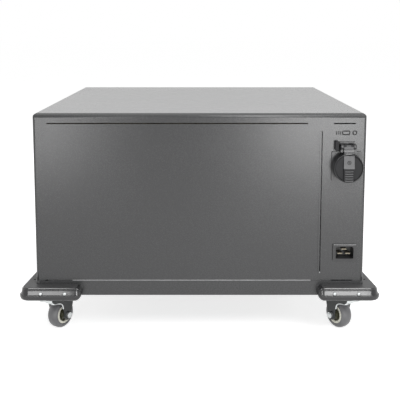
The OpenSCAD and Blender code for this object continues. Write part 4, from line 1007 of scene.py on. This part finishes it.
def makePanelPrint(window, knob, housing, x, level):  # scale round the knob, marks by the switch
    look = scaleLook
    lift = figureLook["lift"]
    bm = bmesh.new()
    dial = panelTurn(x, (knob[0].z + knob[1].z) / 2, level)
    for i in range(look["ticks"]):
        angle = math.radians(90 + look["sweep"] / 2 - look["sweep"] * i / (look["ticks"] - 1))
        reach = look["to"] if i % look["longEvery"] == 0 else (look["from"] + look["to"]) / 2
        middle = (look["from"] + reach) / 2
        tick = roundOutline(reach - look["from"], look["wide"], look["round"], 3, (middle, 0))
        prism(bm, tick, 0.0, lift, dial @ Matrix.Rotation(angle, 4, "Z"))
    power = panelTurn(x, (housing[0].z + housing[1].z) / 2, level)
    stroke = roundOutline(look["markWide"], look["markTall"], look["markRound"], 3, (0, look["markUp"]))
    prism(bm, stroke, 0.0, lift, power)
    printLine(bm, ring(look["offRadius"], 24, (0, -look["markUp"])), lift / 2, look["offLine"], power)
    wide, tall = window[1].x - window[0].x + look["border"], window[1].z - window[0].z + look["border"]
    border = roundOutline(wide, tall, look["borderRound"])
    edgeLine = panelTurn(x, (window[0].z + window[1].z) / 2, level)
    printLine(bm, border, lift / 2, look["borderLine"], edgeLine)
    flatten(bm, level + lift)
    finishPiece("panelMarks", bm, "print_white", "cabinet", slotName="black_plastic")


def makeStatusLamps(window, x, level):  # two small ones under the window
    look = scaleLook
    bm = bmesh.new()
    for dx in (-look["lampAcross"], look["lampAcross"]):
        place = (x + dx, level, window[0].z - look["lampDown"])
        dome = [(look["lampRadius"] * share, along) for share, along in look["lampDome"]]
        lathe(bm, dome, turned((0, 1, 0), place), 20)
    finishPiece("statusLamps", bm, "segment_light", "cabinet", slotName="display_glass")


def makeKnob(knob, x):  # fluted knob with a domed cap
    look = knobLook
    z = (knob[0].z + knob[1].z) / 2
    place = turned((0, 1, 0), (x, knob[0].y, z))
    r, deep = knob[1].x - x - look["in"], knob[1].y - knob[0].y
    levels = [(share, deep * look["skirt"] * along) for share, along in look["skirtLevels"]]
    levels += near(0, deep, look["domeLevels"])
    low, high = look["fluted"]
    bm = bmesh.new()
    rings = []
    for share, along in levels:
        flute = look["fluteDeep"] if low < share < high else 0.0
        row = []
        for a in around(look["flutes"] * look["fluteSteps"]):
            radius = r * share - flute * (0.5 + 0.5 * math.cos(look["flutes"] * a))
            row.append(bm.verts.new(place @ Vector((radius * math.cos(a), radius * math.sin(a), along))))
        rings.append(row)
    skin(bm, rings, capped=True)
    finishPiece("knobBody", bm, "black_plastic", "knob", replaces=("encoder_knob",))
    bm = bmesh.new()
    pointer = roundOutline(*look["pointer"], 3, (0, r * look["pointerAt"]))
    prism(bm, pointer, -look["pointerDeep"], 0.0, panelTurn(x, z, knob[1].y))
    finishPiece("knobPointer", bm, "print_white", "knob", slotName="black_plastic")


def makeControls():
    window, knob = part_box("display_window"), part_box("encoder_knob")
    x = (window[0].x + window[1].x) / 2
    makeFigures(window, x)
    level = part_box("control_panel")[1].y
    makePanelPrint(window, knob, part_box("switch_housing"), x, level)
    makeStatusLamps(window, x, level)
    makeKnob(knob, x)


makeControls()
print("controls")

handleLook = {"radius": 0.0045, "corner": 0.012, "footIn": 0.008, "rootDeep": 0.0005, "steps": 7,
              "foot": 0.0075, "footHeight": 0.0022, "footGap": 0.0001, "footLip": 0.001, "footThroat": 0.0006}


def makeHandle():  # bent bar with collars at its feet
    look = handleLook
    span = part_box("door_handle")
    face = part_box("door_skin")[1].y
    r, c = look["radius"], look["corner"]
    x = (span[0].x + span[1].x) / 2
    out = span[1].y - r
    low, high = span[0].z + look["footIn"], span[1].z - look["footIn"]
    quarter = [math.radians(90 * i / look["steps"]) for i in range(look["steps"] + 1)]
    path = [(face - look["rootDeep"], low)]
    path += [(out - c + c * math.sin(a), low + c - c * math.cos(a)) for a in quarter]
    path += [(out, low + c + (high - low - 2 * c) * i / 8) for i in range(1, 8)]
    path += [(out - c + c * math.cos(a), high - c + c * math.sin(a)) for a in quarter]
    path += [(face - look["rootDeep"], high)]
    bm = bmesh.new()
    sweep(bm, [Vector((x, y, z)) for y, z in path], ring(r, 24), first=(1, 0, 0))
    finishPiece("doorHandle", bm, "black_plastic", "door", replaces=("door_handle",))
    bm = bmesh.new()
    f, h, gap = look["foot"], look["footHeight"], look["footGap"]
    collar = [(r + gap, 0), (f, 0), (f, h * 0.5), (f - look["footLip"], h), (r + look["footThroat"], h * 1.1),
              (r + gap, h)]
    for z in (low, high):
        lathe(bm, collar, turned((0, 1, 0), (x, face, z)), 32, True)
    finishPiece("handleCollars", bm, "black_plastic", "door")


makeHandle()
print("handle")

fanLook = {"blades": 7, "hub": 0.017, "hubRound": 0.001, "hubFront": 0.0012, "sideGap": 0.0025,
           "tipGap": 0.0004, "pitch": 54.0, "twist": 24.0, "sweep": 24.0, "bow": 1.5, "chord": 0.92,
           "thick": 0.0014, "steps": 8,
           "section": ((-1, -0.5), (0, -0.75), (1, -0.5), (1, 0.5), (0, 0.25), (-1, 0.5))}


def makeFan():  # hub with curved blades
    look = fanLook
    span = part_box("fan_rotor")
    pivot = Vector(joints["fan_spin"]["pos_m"])
    tip = (span[1].z - span[0].z) / 2 - look["tipGap"]
    half = (span[1].x - span[0].x) / 2 - look["sideGap"]
    base = turned((1, 0, 0), ((span[0].x + span[1].x) / 2, pivot.y, pivot.z))
    bm = bmesh.new()
    h, c = look["hub"], look["hubRound"]
    lathe(bm, [(0, -half), (h - c, -half), (h, -half + c), (h, half - c), (h - look["hubFront"], half),
               (0, half)], base, 48)
    for k in range(look["blades"]):
        rows = []
        for i in range(look["steps"] + 1):
            share = i / look["steps"]
            radius = h - c + (tip - h + c) * share
            pitch = math.radians(look["pitch"] - look["twist"] * share)
            lead = math.radians(360 / look["blades"] * k + look["sweep"] * share ** look["bow"])
            chord = half * look["chord"]
            row = []
            for u, v in look["section"]:
                angle = lead + (u * chord * math.cos(pitch) + v * look["thick"]) / radius
                row.append(bm.verts.new(base @ Vector((radius * math.cos(angle), radius * math.sin(angle),
                                                       u * chord * math.sin(pitch)))))
            rows.append(row)
        skin(bm, rows, capped=True)
    finishPiece("fanBlades", bm, "black_plastic", "fan", replaces=("fan_rotor",))


makeFan()
print("fan")

seamLook = {"strips": (("seamStrip", -0.214, 0.187, "gasket_grey"),
                       ("seamFill", -0.2555, -0.2145, "cabinet_sheet")),
            "gap": 0.0014, "clear": 0.0001, "out": 0.0001, "deep": 0.0014, "upright": (0.0142, 0.254),
            "slit": 0.0008, "reach": 0.004, "plugRadius": 0.0014, "plugUp": 0.0126, "plugIn": 0.0004,
            "plug": ((0, -0.003), (1, -0.003), (1, -0.0004), (0.7, 0), (0, 0.0001))}


def makeSeamStrips():  # edge strips in the seams of the service side: a pale strip painted as the highlight on the lit edge of the base tray, and a strip of cabinet colour filling the open seam beside it
    look = seamLook
    rear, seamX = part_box("rear_panel"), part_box("socket_panel")[0].x
    low = rear[0].z
    high = low + look["gap"]
    half = look["gap"] / 2 - look["clear"]
    y = tray[0].y - look["out"] + look["deep"] / 2
    for name, left, right, finish in look["strips"]:
        bm = bmesh.new()
        path = [Vector((left + (right - left) * k / 8, y, (low + high) / 2)) for k in range(9)]
        sweep(bm, path, [(look["deep"] / 2 * a, half * b) for a, b in ring(1.0, 12)], first=(0, 1, 0))
        finishPiece(name, bm, finish, "cabinet", slotName="seal_rubber")
    bm = bmesh.new()  # flat fillers over the bends, with a slit between them
    for start, end in ((-look["reach"], -look["slit"]), (look["slit"], look["reach"])):
        block(bm, (seamX + start, tray[0].y, low + look["upright"][0]),
              (seamX + end, tray[0].y + look["deep"], low + look["upright"][1]))
    finishPiece("seamFillers", bm, "cabinet_sheet", "cabinet", slotName="seal_rubber")
    bm = bmesh.new()  # pale dot in the relief hole at the foot of the upright seam: a painted highlight
    place = ((rear[1].x + seamX) / 2, tray[0].y + look["plugIn"], high + look["plugUp"])
    plug = [(look["plugRadius"] * share, along) for share, along in look["plug"]]
    lathe(bm, plug, turned((0, -1, 0), place), 24)
    finishPiece("seamPlug", bm, "gasket_grey", "cabinet", slotName="seal_rubber")


makeSeamStrips()
print("seams")

inletLook = {"in": 0.0012, "bead": 0.0005, "beadOut": 0.0001, "beadDown": 0.0002, "joint": 0.0006,
             "jointLeft": 0.0004, "jointBack": 0.0017}


def makeInletEdges():  # pale bead along the flange's top, a painted highlight on its lit edge; dark line down its left side, a painted shadow of the flange
    look = inletLook
    low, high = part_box("inlet_body")
    y, top = low.y - look["beadOut"], high.z - look["beadDown"]
    left, back = low.x - look["jointLeft"], low.y + look["jointBack"]
    bead = [(low.x + look["in"], y, top), (high.x - look["in"], y, top)]
    joint = [(left, back, low.z + look["in"]), (left, back, high.z)]
    for name, ends, r, finish in (("inletBead", bead, look["bead"], "gasket_grey"),
                                  ("inletJoint", joint, look["joint"], "seal_rubber")):
        bm = bmesh.new()
        a, b = (Vector(p) for p in ends)
        sweep(bm, [a.lerp(b, k / 6) for k in range(7)], ring(r, 10))
        finishPiece(name, bm, finish, "cabinet", slotName="black_plastic")


makeInletEdges()
print("inlet edges")

cameraView = {"place": (0.0, -1.48314, 0.51796), "pitch": 7.0, "lens": 66.72, "shift": (0.001, -0.2012),
              "clip": (0.05, 100.0)}


def makeCamera(look):
    data = bpy.data.cameras.new("studioCamera")
    data.lens = look["lens"]
    data.shift_x, data.shift_y = look["shift"]
    data.clip_start, data.clip_end = look["clip"]
    camera = bpy.data.objects.new("studioCamera", data)
    camera.location = look["place"]
    camera.rotation_euler = (math.radians(90 - look["pitch"]), 0, 0)
    bpy.context.scene.collection.objects.link(camera)
    bpy.context.scene.camera = camera


lamps = {  # place, aim, size, power
    "keyBox": ((0.52, -1.9, 0.2), (0.2, -0.275, 0.25), (0.5, 0.34), 6.6),
    "fillBox": ((-0.66, -1.9, 0.2), (-0.2, -0.275, 0.25), (0.42, 0.34), 4.0),
    "upperRightBox": ((0.42, -1.05, 1.05), (0.2, -0.275, 0.38), (0.5, 0.7), 9.0),
    "upperLeftBox": ((-0.44, -1.05, 1.05), (-0.2, -0.275, 0.38), (0.3, 0.5), 1.0),
    "overheadBox": ((0.0, -0.1, 1.75), (0.0, 0.0, 0.3), (2.0, 1.3), 8.2),
    "backBox": ((0.0, 2.4, 1.4), (0.0, 0.2, 0.3), (2.4, 1.0), 5.5),
    "doorBox": ((0.0, 1.9, 0.2), (0.0, 0.275, 0.3), (0.5, 0.3), 7.5),
    "leftBox": ((-2.2, 0.1, 0.9), (0.0, 0.0, 0.25), (1.8, 1.2), 6.8),
    "rightBox": ((2.2, 0.1, 0.9), (0.0, 0.0, 0.25), (1.8, 1.2), 6.8),
}


def makeLamp(name, place, aim, size, power):
    data = bpy.data.lights.new(name, "AREA")
    data.shape = "RECTANGLE"
    data.size, data.size_y = size
    data.energy = power
    thing = bpy.data.objects.new(name, data)
    thing.location = place
    thing.rotation_mode = "QUATERNION"
    thing.rotation_quaternion = (Vector(aim) - Vector(place)).to_track_quat("-Z", "Y")
    thing.visible_camera = False
    bpy.context.scene.collection.objects.link(thing)


studio = {"worldStrength": 0.33, "floorColour": (0.5, 0.5, 0.5), "shownColour": (0.9, 0.9, 0.9),
          "floorGlow": 0.7, "floorHalf": 30.0}


def shownBy(shader):  # 1 where a camera, glossy or transmission ray looks
    camera, glossy, clear = [shader.node("ShaderNodeLightPath", output="Is %s Ray" % kind)
                             for kind in ("Camera", "Glossy", "Transmission")]
    return camera.larger(glossy.larger(clear))


def makeWorld(look):
    world = bpy.data.worlds.new("paleStudio")
    bpy.context.scene.world = world
    world.use_nodes = True
    sky = Shader(world.node_tree)
    shown = shownBy(sky)
    sky.feedNode("Background", {"Color": (1, 1, 1), "Strength": shown + (1 - shown) * look["worldStrength"]})


def makeFloor(look):  # open from below, so that the underside can be seen
    mesh = bpy.data.meshes.new("studioFloor")
    half = look["floorHalf"]
    square = [(-half, -half, 0), (half, -half, 0), (half, half, 0), (-half, half, 0)]
    mesh.from_pydata(square, [], [(0, 1, 2, 3)])
    floor = bpy.data.objects.new("studioFloor", mesh)
    bpy.context.scene.collection.objects.link(floor)
    s = Surface("paleFloor")
    soft = s.node("ShaderNodeBsdfDiffuse", None, {"Color": look["floorColour"]})
    pale = s.node("ShaderNodeBsdfDiffuse", None, {"Color": look["shownColour"]})
    glow = s.node("ShaderNodeEmission", None, {"Color": (1, 1, 1), "Strength": look["floorGlow"]})
    bright = s.node("ShaderNodeAddShader", None, {0: pale, 1: glow})
    top = s.node("ShaderNodeMixShader", None, {0: shownBy(s), 1: soft, 2: bright})
    under = s.node("ShaderNodeNewGeometry", output="Backfacing")
    clear = s.node("ShaderNodeBsdfTransparent")
    both = s.node("ShaderNodeMixShader", None, {0: under, 1: top, 2: clear})
    s.feedNode("Material Output", {"Surface": both})
    mesh.materials.append(s.material)


makeCamera(cameraView)
for lampName, lamp in lamps.items():
    makeLamp(lampName, *lamp)
makeWorld(studio)
makeFloor(studio)
bpy.context.scene.view_settings.view_transform = "Standard"
print("studio ready")
